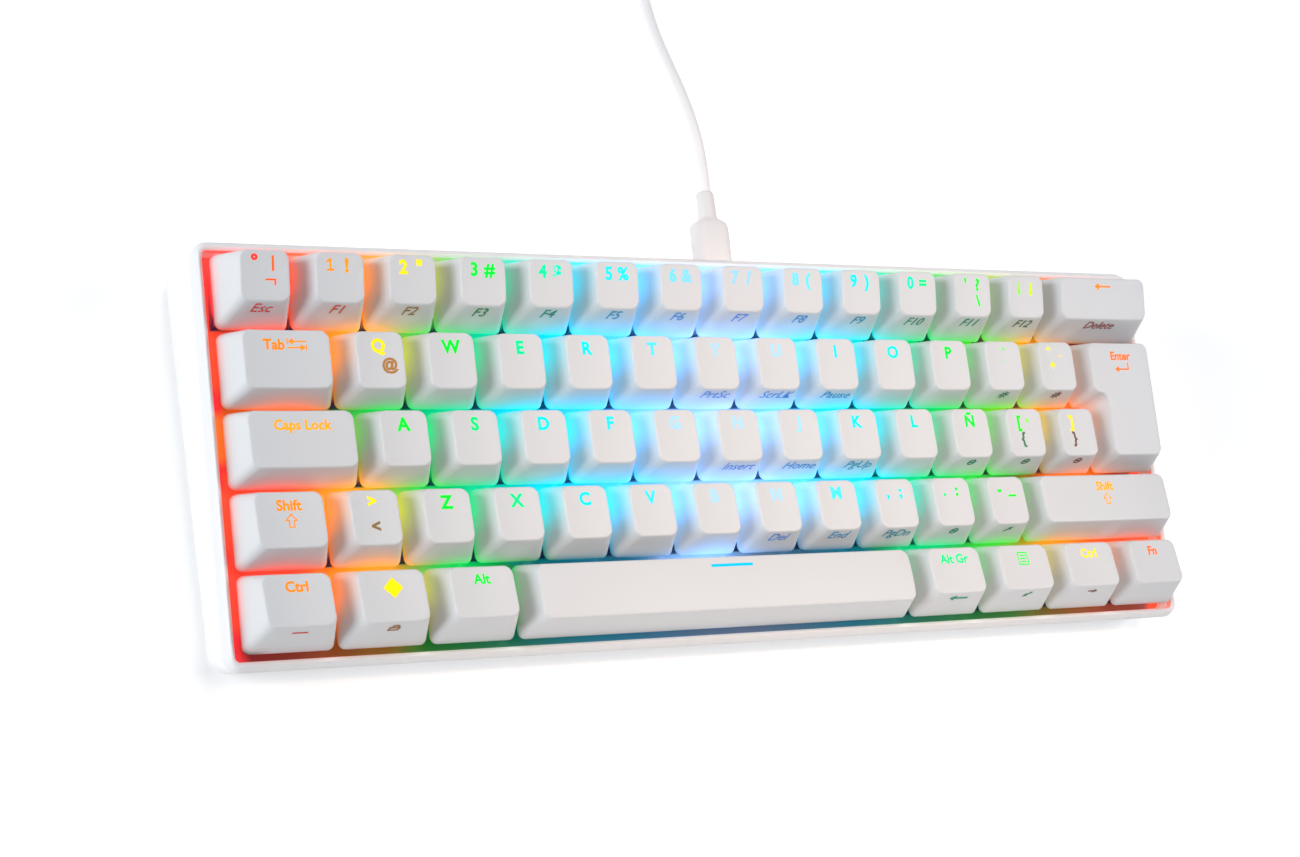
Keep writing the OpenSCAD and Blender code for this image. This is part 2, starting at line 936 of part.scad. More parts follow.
module cable_coil() {
    color(white)
        translate([coil_centre.x, coil_centre.y, coil_lift])
            rotate_extrude($fn = 64)
                bundle_section(0);
}

module cable_tie() {
    color("#cfcfd2")
        translate([coil_centre.x, coil_centre.y, coil_lift])
            intersection() {
                rotate_extrude($fn = 64)
                    difference() {
                        bundle_section(tie_gap + tie_thickness);
                        bundle_section(tie_gap);
                    }
                translate([coil_radius, 0, 0])
                    block([2 * coil_radius, tie_width], -coil_lift, coil_height + 10);
            }
}

module usb_a_plug() {
    color(white)
        translate(usb_a_start) {
            rotate([0, 90, 0])
                cylinder(d = usb_a_relief.x, h = usb_a_relief.y + 1, $fn = 32);
            translate([usb_a_relief.y + usb_a_body.x / 2, 0, 0])
                soft_block([usb_a_body.x, usb_a_body.y], 1.5, -usb_a_body.z / 2, usb_a_body.z / 2);
        }
}

module usb_a_plug_shell() {
    front = usb_a_start.x + usb_a_relief.y + usb_a_body.x;
    color("silver")
        translate([front + usb_a_shell.x / 2, usb_a_start.y, usb_a_start.z])
            difference() {
                block([usb_a_shell.x, usb_a_shell.y], -usb_a_shell.z / 2, usb_a_shell.z / 2);
                translate([1.5, 0, 0])
                    block(
                        [usb_a_shell.x, usb_a_shell.y - 0.6],
                        -usb_a_shell.z / 2 + 2.2, usb_a_shell.z / 2 - 0.3
                    );
            }
}

// ---------------------------------------------------------------- assembly

case_bottom();
case_frame();
rubber_feet();
switch_plate();
plate_screws();
circuit_board();
board_components();
usb_port();
switch_housings_lower();
switch_housings_upper();
switch_contacts();
switch_springs();
stabiliser_guides();
stabiliser_wire(0);  // stabiliser_wire_backspace
stabiliser_wire(1);  // stabiliser_wire_right_shift
stabiliser_wire(2);  // stabiliser_wire_space
stabiliser_wire(3);  // stabiliser_wire_enter
cable_plug();
cable_plug_shell();
cable_lead();
cable_coil();
cable_tie();
usb_a_plug();
usb_a_plug_shell();
for (name = key_nodes) {
    keys_of(name);
}
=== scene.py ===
"""Looks of a compact mechanical keyboard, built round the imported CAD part."""

import math

import bmesh
import bpy
from mathutils import Matrix, Vector


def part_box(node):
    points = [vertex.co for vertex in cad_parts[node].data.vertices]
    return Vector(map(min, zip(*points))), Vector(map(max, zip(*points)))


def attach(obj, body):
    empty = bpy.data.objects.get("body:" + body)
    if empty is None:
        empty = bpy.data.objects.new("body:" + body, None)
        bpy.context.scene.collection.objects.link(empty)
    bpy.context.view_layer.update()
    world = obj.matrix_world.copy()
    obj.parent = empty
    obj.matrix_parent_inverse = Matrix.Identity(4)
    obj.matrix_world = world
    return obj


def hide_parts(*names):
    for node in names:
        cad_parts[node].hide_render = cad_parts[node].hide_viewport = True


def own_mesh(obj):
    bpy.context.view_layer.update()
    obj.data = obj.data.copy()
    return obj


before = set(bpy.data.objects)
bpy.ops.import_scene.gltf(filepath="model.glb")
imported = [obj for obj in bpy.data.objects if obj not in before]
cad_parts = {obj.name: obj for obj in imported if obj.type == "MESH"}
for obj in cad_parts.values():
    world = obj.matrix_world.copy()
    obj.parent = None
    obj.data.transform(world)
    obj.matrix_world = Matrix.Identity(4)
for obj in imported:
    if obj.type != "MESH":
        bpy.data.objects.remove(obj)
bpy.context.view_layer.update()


MM = 0.001

# ---------------------------------------------------------------- key plane
# Sizes in part.scad's terms, in millimetres. The keys stand on a plane of their own, tilted back
# about X: its origin is the middle of the key grid, at the level of the keycap skirts.
PITCH = 19.05
GRID_MIDDLE = (7.5, 2.5)
GAP = 0.84
TILT = math.radians(6)
PLANE_SHIFT = -0.33
PLANE_HEIGHT = 22.0
PLANE = (
    Matrix.Translation((0, PLANE_SHIFT * MM, PLANE_HEIGHT * MM))
    @ Matrix.Rotation(TILT, 4, "X")
    @ Matrix.Scale(MM, 4)
)
DESK = Matrix.Scale(MM, 4)


def unit_x(u):
    return (u - GRID_MIDDLE[0]) * PITCH


def unit_y(v):
    return (v - GRID_MIDDLE[1]) * PITCH


# ---------------------------------------------------------------- camera
CAMERA_AZIMUTH = math.radians(-71.80)
CAMERA_ELEVATION = math.radians(56.64)
CAMERA_ROLL = math.radians(68.11)
CAMERA_DISTANCE = 632.7
CAMERA_TARGET = Vector((-26.61, 4.91, 0))
CAMERA_LENS = 68.46


def add_camera():
    sa, ca = math.sin(CAMERA_AZIMUTH), math.cos(CAMERA_AZIMUTH)
    se, ce = math.sin(CAMERA_ELEVATION), math.cos(CAMERA_ELEVATION)
    back = Vector((sa * ce, -ca * ce, se))
    right = Vector((ca, sa, 0))
    up = back.cross(right)
    sr, cr = math.sin(CAMERA_ROLL), math.cos(CAMERA_ROLL)
    turned_right = cr * right + sr * up
    turned_up = -sr * right + cr * up
    rotation = Matrix((turned_right, turned_up, back)).transposed().to_4x4()
    data = bpy.data.cameras.new("camera")
    data.lens = CAMERA_LENS
    data.sensor_width = 36
    data.sensor_fit = "HORIZONTAL"
    data.clip_start = 0.01
    data.clip_end = 20
    camera = bpy.data.objects.new("camera", data)
    tilt = Matrix.Rotation(TILT, 4, "X")
    camera.matrix_world = (
        Matrix.Translation(PLANE @ (CAMERA_TARGET + back * CAMERA_DISTANCE)) @ tilt @ rotation
    )
    bpy.context.collection.objects.link(camera)
    bpy.context.scene.camera = camera


add_camera()

# ---------------------------------------------------------------- light colours
# The key lights run through a rainbow along the keyboard: place in key units from the left
# edge, then the linear colour there. On the left the rainbow runs slantwise, so a row can be
# ahead of its place.
RAINBOW = [
    (0.0, (0.80, 0.03, 0.05)),
    (0.9, (0.80, 0.07, 0.04)),
    (1.6, (0.84, 0.16, 0.03)),
    (2.3, (0.95, 0.34, 0.02)),
    (2.6, (0.90, 0.40, 0.02)),
    (2.85, (0.14, 0.56, 0.02)),
    (3.1, (0.00, 0.58, 0.05)),
    (3.6, (0.00, 0.56, 0.13)),
    (4.2, (0.00, 0.56, 0.32)),
    (4.9, (0.00, 0.64, 0.78)),
    (5.4, (0.00, 0.64, 1.00)),
    (6.0, (0.06, 0.60, 1.00)),
    (6.8, (0.30, 0.60, 1.00)),
    (7.6, (0.42, 0.62, 1.00)),
    (8.4, (0.20, 0.62, 1.00)),
    (9.2, (0.00, 0.66, 1.00)),
    (9.9, (0.00, 0.62, 0.68)),
    (10.6, (0.00, 0.58, 0.24)),
    (11.4, (0.00, 0.58, 0.10)),
    (12.2, (0.08, 0.60, 0.02)),
    (12.8, (0.70, 0.42, 0.01)),
    (13.3, (1.00, 0.30, 0.01)),
    (14.0, (1.00, 0.14, 0.03)),
    (15.0, (0.95, 0.08, 0.03)),
]
# How far ahead each row is, from the front to the back, and where that is full and where it ends
AHEAD = [0.6, 0.9, 1.5, 0.6, 0.0]
AHEAD_FULL = 1.5
AHEAD_ENDS = 8.5


def ramp(stops, place):
    for (u0, c0), (u1, c1) in zip(stops, stops[1:]):
        if place <= u1:
            t = max(0.0, (place - u0) / (u1 - u0))
            return [a + t * (b - a) for a, b in zip(c0, c1)]
    return list(stops[-1][1])


def along_rainbow(x, y):
    """Place along the rainbow, in key units, of a point of the key plane in millimetres."""
    place = x / PITCH + GRID_MIDDLE[0]
    row = min(4, max(0, math.floor(y / PITCH + GRID_MIDDLE[1])))
    share = min(1.0, max(0.0, place / AHEAD_FULL)) * max(0.0, 1 - place / AHEAD_ENDS)
    return place + AHEAD[row] * share


def rainbow(x, y):
    return ramp(RAINBOW, along_rainbow(x, y))


# ---------------------------------------------------------------- materials
def new_material(name):
    material = bpy.data.materials.new(name)
    material.use_nodes = True
    return material, material.node_tree, material.node_tree.nodes["Principled BSDF"]


def wire(tree, node, inputs):
    """Sets a node's inputs, each to a plain value or to another node's output."""
    for name, value in inputs.items():
        if isinstance(value, bpy.types.NodeSocket):
            tree.links.new(value, node.inputs[name])
        else:
            node.inputs[name].default_value = value


def add_node(tree, kind, output, inputs):
    """Adds a node, wires its inputs and gives back its output."""
    node = tree.nodes.new("ShaderNode" + kind)
    wire(tree, node, inputs)
    return node.outputs[output]


def blend(tree, factor, a, b):
    """Mixes two colours, each a plain one or a node's output."""
    node = tree.nodes.new("ShaderNodeMix")
    node.data_type = "RGBA"
    wire(tree, node, {"Factor": factor, "A": a, "B": b})
    return node.outputs["Result"]


def painted(tree, layer):
    """The colour painted on a mesh's points, and its alpha."""
    node = tree.nodes.new("ShaderNodeVertexColor")
    node.layer_name = layer
    return node.outputs["Color"], node.outputs["Alpha"]


def varied(tree, noise, middle, spread):
    """A value that varies with a noise."""
    limits = {"To Min": middle - spread, "To Max": middle + spread}
    return add_node(tree, "MapRange", "Result", {**limits, "Value": noise})


def surface_grain(tree, shader, size, depth, rough, spread):
    """Fine moulded texture: a bump and a roughness that varies a little."""
    place = add_node(tree, "TexCoord", "Object", {})
    noise = add_node(tree, "TexNoise", "Fac", {"Scale": 1 / (size * MM), "Detail": 3, "Vector": place})
    bump = add_node(tree, "Bump", "Normal", {"Strength": 1.0, "Distance": depth * MM, "Height": noise})
    wire(tree, shader, {"Normal": bump, "Roughness": varied(tree, noise, rough, spread)})
    return place


DRIFT_SIZE = 25


def plastic(name, colour, other, rough=0.42, grain=0.25, depth=0.01, glow=0.0):
    """Moulded plastic whose colour drifts slowly between two close tones.

    With a glow it paints coloured light into its colour and emission, and painted shade where that
    colour is dark: hue in the glow layer's colour, amount in its alpha."""
    material, tree, shader = new_material(name)
    place = surface_grain(tree, shader, grain, depth, rough, 0.06)
    noise = add_node(tree, "TexNoise", "Fac", {"Scale": 1 / (DRIFT_SIZE * MM), "Vector": place})
    base = blend(tree, noise, (*colour, 1), (*other, 1))
    if glow:
        hue, amount = painted(tree, "glow")
        base = blend(tree, amount, base, hue)
        emitted = blend(tree, amount, (0, 0, 0, 1), hue)
        wire(tree, shader, {"Emission Color": emitted, "Emission Strength": glow})
    wire(tree, shader, {"Base Color": base})
    return material


def metal(name, colour, other, rough, streak):
    """Drawn or stamped metal with fine streaks along X."""
    material, tree, shader = new_material(name)
    place = add_node(tree, "TexCoord", "Object", {})
    drawn = add_node(tree, "Mapping", "Vector", {"Scale": (streak, 1.0, 1.0), "Vector": place})
    noise = add_node(tree, "TexNoise", "Fac", {"Scale": 4000, "Vector": drawn})
    base = blend(tree, noise, (*colour, 1), (*other, 1))
    uneven = varied(tree, noise, rough, 0.1)
    wire(tree, shader, {"Metallic": 1.0, "Roughness": uneven, "Base Color": base})
    return material


def legend(name, grain, rough, light=0.0):
    """A legend with its own colour: clear and lit from behind, or without light pad printed."""
    material, tree, shader = new_material(name)
    tint, _ = painted(tree, "tint")
    wire(tree, shader, {"Base Color": tint})
    if light:
        wire(tree, shader, {"Emission Color": tint, "Emission Strength": light})
        wire(tree, shader, {"Specular IOR Level": 0.1})
    surface_grain(tree, shader, grain, 0.006, rough, 0.08)
    return material


def strap_fabric():
    """Woven hook-and-loop strap."""
    material, tree, shader = new_material("strap_fabric")
    place = add_node(tree, "TexCoord", "Object", {})
    weave = add_node(tree, "TexWave", "Fac", {"Scale": 900, "Distortion": 1.5, "Vector": place})
    fuzz = add_node(tree, "TexNoise", "Fac", {"Scale": 3500, "Vector": place})
    total = add_node(tree, "Math", "Value", {0: weave, 1: fuzz})
    bump = add_node(tree, "Bump", "Normal", {"Distance": 0.06 * MM, "Height": total})
    base = blend(tree, weave, (0.55, 0.55, 0.57, 1), (0.72, 0.72, 0.74, 1))
    wire(tree, shader, {"Normal": bump, "Base Color": base, "Roughness": 0.9})
    return material


GLOW_STRENGTH = 0.95
CASE_WHITE = plastic(
    "case_white", (0.84, 0.825, 0.825), (0.87, 0.855, 0.855), rough=0.36, grain=0.35, depth=0.012,
    glow=GLOW_STRENGTH
)
CAP_WHITE = plastic(
    "cap_white", (0.69, 0.70, 0.71), (0.72, 0.73, 0.74), rough=0.46, grain=0.22, depth=0.012,
    glow=GLOW_STRENGTH
)
PLATE_WHITE = plastic(
    "plate_white", (0.74, 0.74, 0.76), (0.78, 0.78, 0.80), rough=0.5, grain=0.4, depth=0.02,
    glow=GLOW_STRENGTH
)
HOUSING = plastic(
    "switch_housing", (0.72, 0.72, 0.74), (0.78, 0.78, 0.80), rough=0.3, grain=0.5, depth=0.006,
    glow=GLOW_STRENGTH
)
STEM = plastic("switch_stem", (0.45, 0.06, 0.05), (0.50, 0.08, 0.06), rough=0.4)
GUIDE = plastic(
    "stabiliser_guide", (0.72, 0.72, 0.73), (0.78, 0.78, 0.79), rough=0.4, glow=GLOW_STRENGTH
)
BOARD = plastic("circuit_board", (0.03, 0.16, 0.08), (0.04, 0.20, 0.10), rough=0.35, grain=0.8)
CHIP = plastic("chip_black", (0.012, 0.012, 0.014), (0.02, 0.02, 0.022), rough=0.45)
RUBBER = plastic("foot_rubber", (0.035, 0.035, 0.037), (0.05, 0.05, 0.052), rough=0.75, depth=0.03)
CORD_WHITE = plastic("cord_jacket", (0.90, 0.885, 0.88), (0.92, 0.905, 0.90), rough=0.5, grain=0.5)
PLUG_WHITE = plastic("plug_white", (0.76, 0.735, 0.73), (0.79, 0.765, 0.76), rough=0.45, grain=0.35)
STEEL = metal("plated_steel", (0.62, 0.62, 0.63), (0.70, 0.70, 0.71), 0.3, 0.1)
WIRE = metal("spring_wire", (0.58, 0.58, 0.60), (0.66, 0.66, 0.68), 0.25, 0.05)
BRASS = metal("contact_metal", (0.75, 0.52, 0.22), (0.80, 0.58, 0.28), 0.3, 0.2)
LEGEND_LIGHT = legend("legend_light", 0.3, 0.4, light=0.42)
LEGEND_INK = legend("legend_ink", 0.2, 0.55)
STRAP = strap_fabric()


# ---------------------------------------------------------------- mesh building
class Shape:
    """Points, faces and a colour for each point, gathered in millimetres."""

    def __init__(self):
        self.points = []
        self.faces = []
        self.slots = []
        self.colours = []

    def add_point(self, point, colour=(0, 0, 0, 0)):
        self.points.append(tuple(point))
        self.colours.append(tuple(colour))
        return len(self.points) - 1

    def add_ring(self, points, colours=None):
        colours = colours or [(0, 0, 0, 0)] * len(points)
        return [self.add_point(p, c) for p, c in zip(points, colours)]

    def add_face(self, indices, slot=0):
        self.faces.append(tuple(indices))
        self.slots.append(slot)

    def bridge(self, *rings):
        """Quads between rings that turn the same way, each seen from outside above the one before."""
        for low, high in zip(rings, rings[1:]):
            for a, b, c, d in zip(low, low[1:] + low[:1], high[1:] + high[:1], high):
                self.add_face((a, b, c, d))

    def fan(self, ring, centre):
        for a, b in zip(ring, ring[1:] + ring[:1]):
            self.add_face((a, b, centre))

    def add_bar(self, outline, bottom, top):
        """Upright solid with the same outline from its bottom to its top."""
        base = self.add_ring([(x, y, bottom) for x, y in outline])
        roof = self.add_ring([(x, y, top) for x, y in outline])
        self.bridge(base, roof)
        self.add_face(roof)
        self.add_face(base[::-1])

    def build(self, name, materials, place=PLANE, layer="glow", smooth=True):
        mesh = bpy.data.meshes.new(name)
        mesh.from_pydata([place @ Vector(p) for p in self.points], [], self.faces)
        for material in materials:
            mesh.materials.append(material)
        mesh.polygons.foreach_set("material_index", self.slots)
        attribute = mesh.color_attributes.new(layer, "FLOAT_COLOR", "POINT")
        flat = [value for colour in self.colours for value in colour]
        attribute.data.foreach_set("color", flat)
        if smooth:
            mesh.shade_smooth()
        mesh.validate()
        mesh.update()
        made = bpy.data.objects.new(name, mesh)
        bpy.context.collection.objects.link(made)
        return made


def rounded_outline(outline, radius, arc_steps, edge_steps):
    """Points round an axis-aligned outline, given counterclockwise, with round corners."""
    arcs = []
    count = len(outline)
    for i, corner in enumerate(outline):
        here = Vector(corner)
        into = (here - Vector(outline[i - 1])).normalized()
        out = (Vector(outline[(i + 1) % count]) - here).normalized()
        centre = here - into * radius + out * radius
        arc = []
        for k in range(arc_steps + 1):
            angle = math.pi / 2 * k / arc_steps
            arc.append(centre + radius * (into * math.sin(angle) - out * math.cos(angle)))
        arcs.append(arc)
    points = []
    for arc, following in zip(arcs, arcs[1:] + arcs[:1]):
        points.extend(arc)
        for k in range(1, edge_steps + 1):
            points.append(arc[-1].lerp(following[0], k / (edge_steps + 1)))
    return [(p.x, p.y) for p in points]


def rectangle(half_x, half_y):
    return [(half_x, -half_y), (half_x, half_y), (-half_x, half_y), (-half_x, -half_y)]


def circle(radius, count):
    turns = [2 * math.pi * i / count for i in range(count)]
    return [(radius * math.cos(a), radius * math.sin(a)) for a in turns]


def bend(t, a, b, c):
    """Point of a soft corner that runs from a to c and is drawn towards b."""
    return (1 - t) ** 2 * a + 2 * t * (1 - t) * b + t * t * c


# ---------------------------------------------------------------- keys
# Keycap rows from the front to the back: how far the top face stands in from the skirt at the
# back and at the front, then its height at the back and at the front
SIDE_INSET = 3.0
PROFILES = [
    (1.0, 4.7, 7.6, 10.0),
    (0.9, 4.0, 7.4, 9.0),
    (0.9, 3.7, 7.9, 8.8),
    (0.9, 3.4, 8.8, 9.1),
    (1.6, 4.8, 11.7, 10.2),
]
SPACE_PROFILE = (1.0, 3.5, 7.6, 9.5)
ENTER_PROFILE = (0.9, 3.7, 8.8, 8.8)
SKIRT_RADIUS = 1.9
TOP_RADIUS = 2.3
CAP_WALL = 1.2
CAP_ROOF = 1.5
TOP_EDGE = 0.44
DISH = 0.42
CROWN = 0.5

# Where a keycap's rings of points lie: up its wall, over its soft edge, and in towards the hub
WALL_STOPS = (0.0, 0.04, 0.15, 0.3, 0.5, 0.7, 0.9, 1.0)
EDGE_STOPS = (0.2, 0.4, 0.6, 0.8, 1.0)
TOP_STOPS = (0.85, 0.7, 0.52, 0.35, 0.17)
TALL_HUB = 6.0

# Switch stem: half sizes of the slider and of the arms of its cross, then their levels
SLIDER = (3.3, 2.8)
CROSS = (2.0, 0.585)
SLIDER_BOTTOM = -3.8
SLIDER_TOP = 0.1
CROSS_TOP = 3.7
LEG_RADIUS = 1.3
LEG_BOTTOM = -8.6
LEG_TOP = -3.7
TALL_STEM_U = 14.375

SPRING_DIAMETER = 3.7
SPRING_WIRE = 0.36
SPRING_TURNS = 5
SPRING_STEPS = 12
SPRING_FLOOR = -10.3
SPRING_TOP = SLIDER_BOTTOM

# How the key lights' light falls off, and how much of it different walls take
LED_OFFSET = 5.0
LIGHT_CUTOFF = 12
FAINT_LIGHT = 0.05
WALL_GAIN = 4.0
WALL_DARKEST = 0.25
LEAST_REACH = 0.8
FOOT_REACH = 1.1
FOOT_GLOW = 0.9
GLOW_ON_CAPS = 2.6
GLOW_ON_OUTER_WALLS = 0.35
RIGHT_END = 102
RIGHT_END_GAIN = 0.4
DEEP_DARKEST = 0.16
DEEP_AT_SIDES = 0.74
SIDE_STRIP = 139.0
FRONT_STRIP = 43.0
STRIP_FADE = 2
FRONT_SHADE = 0.15
FRONT_SHADE_X = 10
FRONT_SHADE_SPREAD = 75


class Key:
    """One key: its place on the grid in key units and what it says."""

    def __init__(self, body, row, left, width, marks=(), front=()):
        self.body = body
        self.row = row
        self.left = left
        self.right = left + width
        self.marks = marks
        self.front = front
        self.profile = PROFILES[row]
        self.crowned = False
        self.bottom = row
        self.top = row + 1

    def is_tall(self):
        return self.top - self.bottom > 1

    def centre_x(self):
        return unit_x((self.left + self.right) / 2)

    def middle_y(self):
        return unit_y((self.bottom + self.top) / 2)

    def limits(self, inset, back, front):
        """Sides of the key, moved in: left, right, front, back."""
        return (
            unit_x(self.left) + GAP / 2 + inset, unit_x(self.right) - GAP / 2 - inset,
            unit_y(self.bottom) + GAP / 2 + front, unit_y(self.top) - GAP / 2 - back,
        )

    def sides(self, inset, back, front):
        """Outline of the key, with all its sides moved in."""
        x0, x1, y0, y1 = self.limits(inset, back, front)
        return [(x1, y0), (x1, y1), (x0, y1), (x0, y0)]

    def top_span(self):
        return self.limits(SIDE_INSET, self.profile[0], self.profile[1])

    def top_z(self, x, y):
        """Level of the top face: it slopes, and it is dished across or crowned from front to back."""
        x0, x1, y0, y1 = self.top_span()
        share = (y - y0) / (y1 - y0)
        level = self.profile[3] + share * (self.profile[2] - self.profile[3])
        if self.crowned:
            across = min(1.0, abs(2 * share - 1))
            return level + CROWN * (1 - across ** 2)
        across = min(1.0, abs(2 * (x - x0) / (x1 - x0) - 1))
        return level - DISH * (1 - across ** 2)


class EnterKey(Key):
    """The tall ISO enter key: its lower half is the narrower one."""

    UPPER_LEFT = 13.5
    LOWER_LEFT = 13.75
    NOTCH = 3.0
    NOTCH_LEAN = 0.75

    def __init__(self, body, row, left, width, marks, front):
        super().__init__(body, row, self.UPPER_LEFT, width, marks, front)
        self.profile = ENTER_PROFILE
        self.top = row + 2

    def sides(self, inset, back, front):
        x0, x1, y0, y1 = self.limits(inset, back, front)
        notch_x = unit_x(self.LOWER_LEFT) + GAP / 2 + inset
        notch_y = unit_y(self.NOTCH) + GAP / 2 + front * self.NOTCH_LEAN
        return [(x1, y0), (x1, y1), (x0, y1), (x0, notch_y), (notch_x, notch_y), (notch_x, y0)]


def key_light(x, y, spread):
    """Mean hue of the key lights near a place, and how much of their light reaches it."""
    hue = Vector((0, 0, 0))
    total = 0.0
    for light_x, light_y in LIGHTS:
        square = ((x - light_x) / spread[0]) ** 2 + ((y - light_y) / spread[1]) ** 2
        if square < LIGHT_CUTOFF:
            share = math.exp(-0.5 * square)
            total += share
            hue += share * Vector(rainbow(light_x, light_y))
    return (hue / total if total > 1e-6 else hue), total


def glow_at(x, y, height=0.0, gain=1.0, foot=0.0, reach=2.3, spread=(7.6, 4.2)):
    """Light on a white wall, which fades upwards: its colour, and in the last value its amount.

    Bright hues reach higher up. The foot of a wall gets painted light reflected in the colour of what
    is beside it, even where no lamp is near."""
    hue, total = key_light(x, y, spread)
    reach *= max(LEAST_REACH, hue.x + hue.y + hue.z)
    level = WALL_DARKEST + (1 - WALL_DARKEST) * (1 - math.exp(-WALL_GAIN * total))
    amount = 1 - math.exp(-gain * total * math.exp(-max(0.0, height) / reach))
    amount = max(amount, foot * math.exp(-max(0.0, height) / FOOT_REACH))
    return (*(hue * level), amount)


def glow_below(x, y, gain=3.4, spread=(7.6, 4.0)):
    """Light deep between the keys: pure colour, bright at a key light and dark away from it.

    The case's white walls gather light, so it is brighter along them."""
    hue, total = key_light(x, y, spread)
    if total < FAINT_LIGHT:
        hue = Vector(rainbow(x, y))
    sides = min(1.0, max(0.0, (abs(x) - SIDE_STRIP) / STRIP_FADE))
    front = min(1.0, max(0.0, (-FRONT_STRIP - y) / STRIP_FADE))
    darkest = DEEP_DARKEST + DEEP_AT_SIDES * sides
    level = darkest + (1 - darkest) * (1 - math.exp(-gain * total))
    near_middle = math.exp(-((x - FRONT_SHADE_X) / FRONT_SHADE_SPREAD) ** 2)
    level *= 1 - FRONT_SHADE * front * (1 - sides) * near_middle
    return (*(hue * level), 1.0)


def wall_light(key, x, y, z):
    """Light on a keycap's wall. Walls that face the case see few key lights."""
    if key.left == 0 and x < unit_x(0) + SIDE_INSET:
        return glow_at(x, y, z, GLOW_ON_OUTER_WALLS, FOOT_GLOW)
    if key.bottom == 0 and y < unit_y(0) + GAP / 2 + key.profile[1] * 0.9:
        return glow_at(x, y, z, GLOW_ON_OUTER_WALLS, FOOT_GLOW / 4)
    share = RIGHT_END_GAIN if x > RIGHT_END else 1.0
    return glow_at(x, y, z, GLOW_ON_CAPS * share, FOOT_GLOW * share)


def add_keycap(shape, key):
    """A hollow keycap with a soft top edge and round corners."""
    wide = key.right - key.left
    steps = 3 if wide < 1.5 else (6 if wide < 4 else 16)
    back, front, z_back, z_front = key.profile
    x0, x1, y0, y1 = key.top_span()

    def ring(inset, back_inset, front_inset, radius):
        return rounded_outline(key.sides(inset, back_inset, front_inset), radius, 6, steps)

    def ceiling_z(y):
        return z_front + (z_back - z_front) * (y - y0) / (y1 - y0) - CAP_ROOF

    def on_top(x, y):
        return (x, y, key.top_z(x, y))

    skirt = ring(0, 0, 0, SKIRT_RADIUS)
    edge = [on_top(x, y) for x, y in ring(SIDE_INSET, back, front, TOP_RADIUS)]
    inner = ring(SIDE_INSET + TOP_EDGE, back + TOP_EDGE, front + TOP_EDGE, TOP_RADIUS - TOP_EDGE)
    made = []
    for t in WALL_STOPS:
        points = []
        for (ax, ay), (bx, by, z) in zip(skirt, edge):
            share = t * (1 - TOP_EDGE / z)
            points.append((ax + (bx - ax) * share, ay + (by - ay) * share, z * share))
        made.append(shape.add_ring(points, [wall_light(key, *p) for p in points]))
    soft = [(Vector(a), Vector(b), Vector(on_top(*c))) for a, b, c in zip(points, edge, inner)]
    for t in EDGE_STOPS:
        made.append(shape.add_ring([bend(t, a, b, c) for a, b, c in soft]))
    hub = Vector(((x0 + x1) / 2, (y0 + y1) / 2 + (TALL_HUB if key.is_tall() else 0)))
    for share in TOP_STOPS:
        points = [hub + (Vector(p) - hub) * share for p in inner]
        made.append(shape.add_ring([on_top(p.x, p.y) for p in points]))
    shape.bridge(*made)
    shape.fan(made[-1], shape.add_point(on_top(hub.x, hub.y)))
    # the hollow underneath
    foot = ring(CAP_WALL, CAP_WALL, CAP_WALL, SKIRT_RADIUS - 0.7)
    ceiling = ring(SIDE_INSET + CAP_WALL, back + CAP_WALL, front + CAP_WALL, TOP_RADIUS - 0.7)
    foot_glow = [glow_below(x, y) for x, y in foot]
    low = shape.add_ring([(x, y, 0) for x, y in foot], foot_glow)
    high = shape.add_ring([(x, y, ceiling_z(y)) for x, y in ceiling], foot_glow)
    shape.bridge(high, low, made[0])
    shape.fan(high[::-1], shape.add_point((hub.x, hub.y, ceiling_z(hub.y))))


def add_stem(shape, x, y):
    """Slider, cross and guide leg of a switch."""
    blocks = (
        (rectangle(*SLIDER), SLIDER_BOTTOM, SLIDER_TOP),
        (rectangle(*CROSS), SLIDER_TOP, CROSS_TOP),
        (rectangle(*CROSS[::-1]), SLIDER_TOP, CROSS_TOP),
        (circle(LEG_RADIUS, 16), LEG_BOTTOM, LEG_TOP),
    )
    for outline, bottom, top in blocks:
        shape.add_bar([(x + px, y + py) for px, py in outline], bottom, top)


def add_spring(shape, x, y):
    """Coil spring of a switch, from the floor of its well up to the slider."""
    steps = SPRING_TURNS * SPRING_STEPS
    low = SPRING_FLOOR + SPRING_WIRE / 2
    high = SPRING_TOP - SPRING_WIRE / 2
    section = circle(SPRING_WIRE / 2, 5)
    made = []
    for i in range(steps + 1):
        turn = 2 * math.pi * i / SPRING_STEPS
        out = Vector((math.cos(turn), math.sin(turn), 0))
        at = Vector((x, y, low + (high - low) * i / steps)) + out * SPRING_DIAMETER / 2
        made.append(shape.add_ring([at + out * across + Vector((0, 0, up)) for across, up in section]))
    shape.bridge(*made[::-1])
    shape.add_face(made[0])
    shape.add_face(made[-1][::-1])


# ---------------------------------------------------------------- what the keys say
# A mark is (text or sign, sideways place, place down from the back edge as a share of the top's
# depth, height in millimetres). Standard words and signs of an office keyboard only.
LETTER = 3.1
WORD = 2.4
FRONT_MARK = 3.0
FRONT_MARK_DROP = 2.8
FRONTS = {
    "y": "PrtSc", "u": "ScrLK", "i": "Pause", "h": "Insert", "j": "Home", "k": "PgUp",
    "n": "Del", "m": "End",
}


def letter(sign):
    return [(sign, 0.0, 0.25, LETTER)]


def word(text):
    return [(text, 0, 0.24, WORD)]


def pair(sign, shifted):
    return [(sign, -2.3, 0.25, LETTER), (shifted, 1.9, 0.25, LETTER)]


def letter_keys(letters):
    return [("key_" + c, 1, letter(c.upper()), [FRONTS[c]] if c in FRONTS else []) for c in letters]


def other(marks, *front, width=1):
    return ("other_keys", width, marks, front)


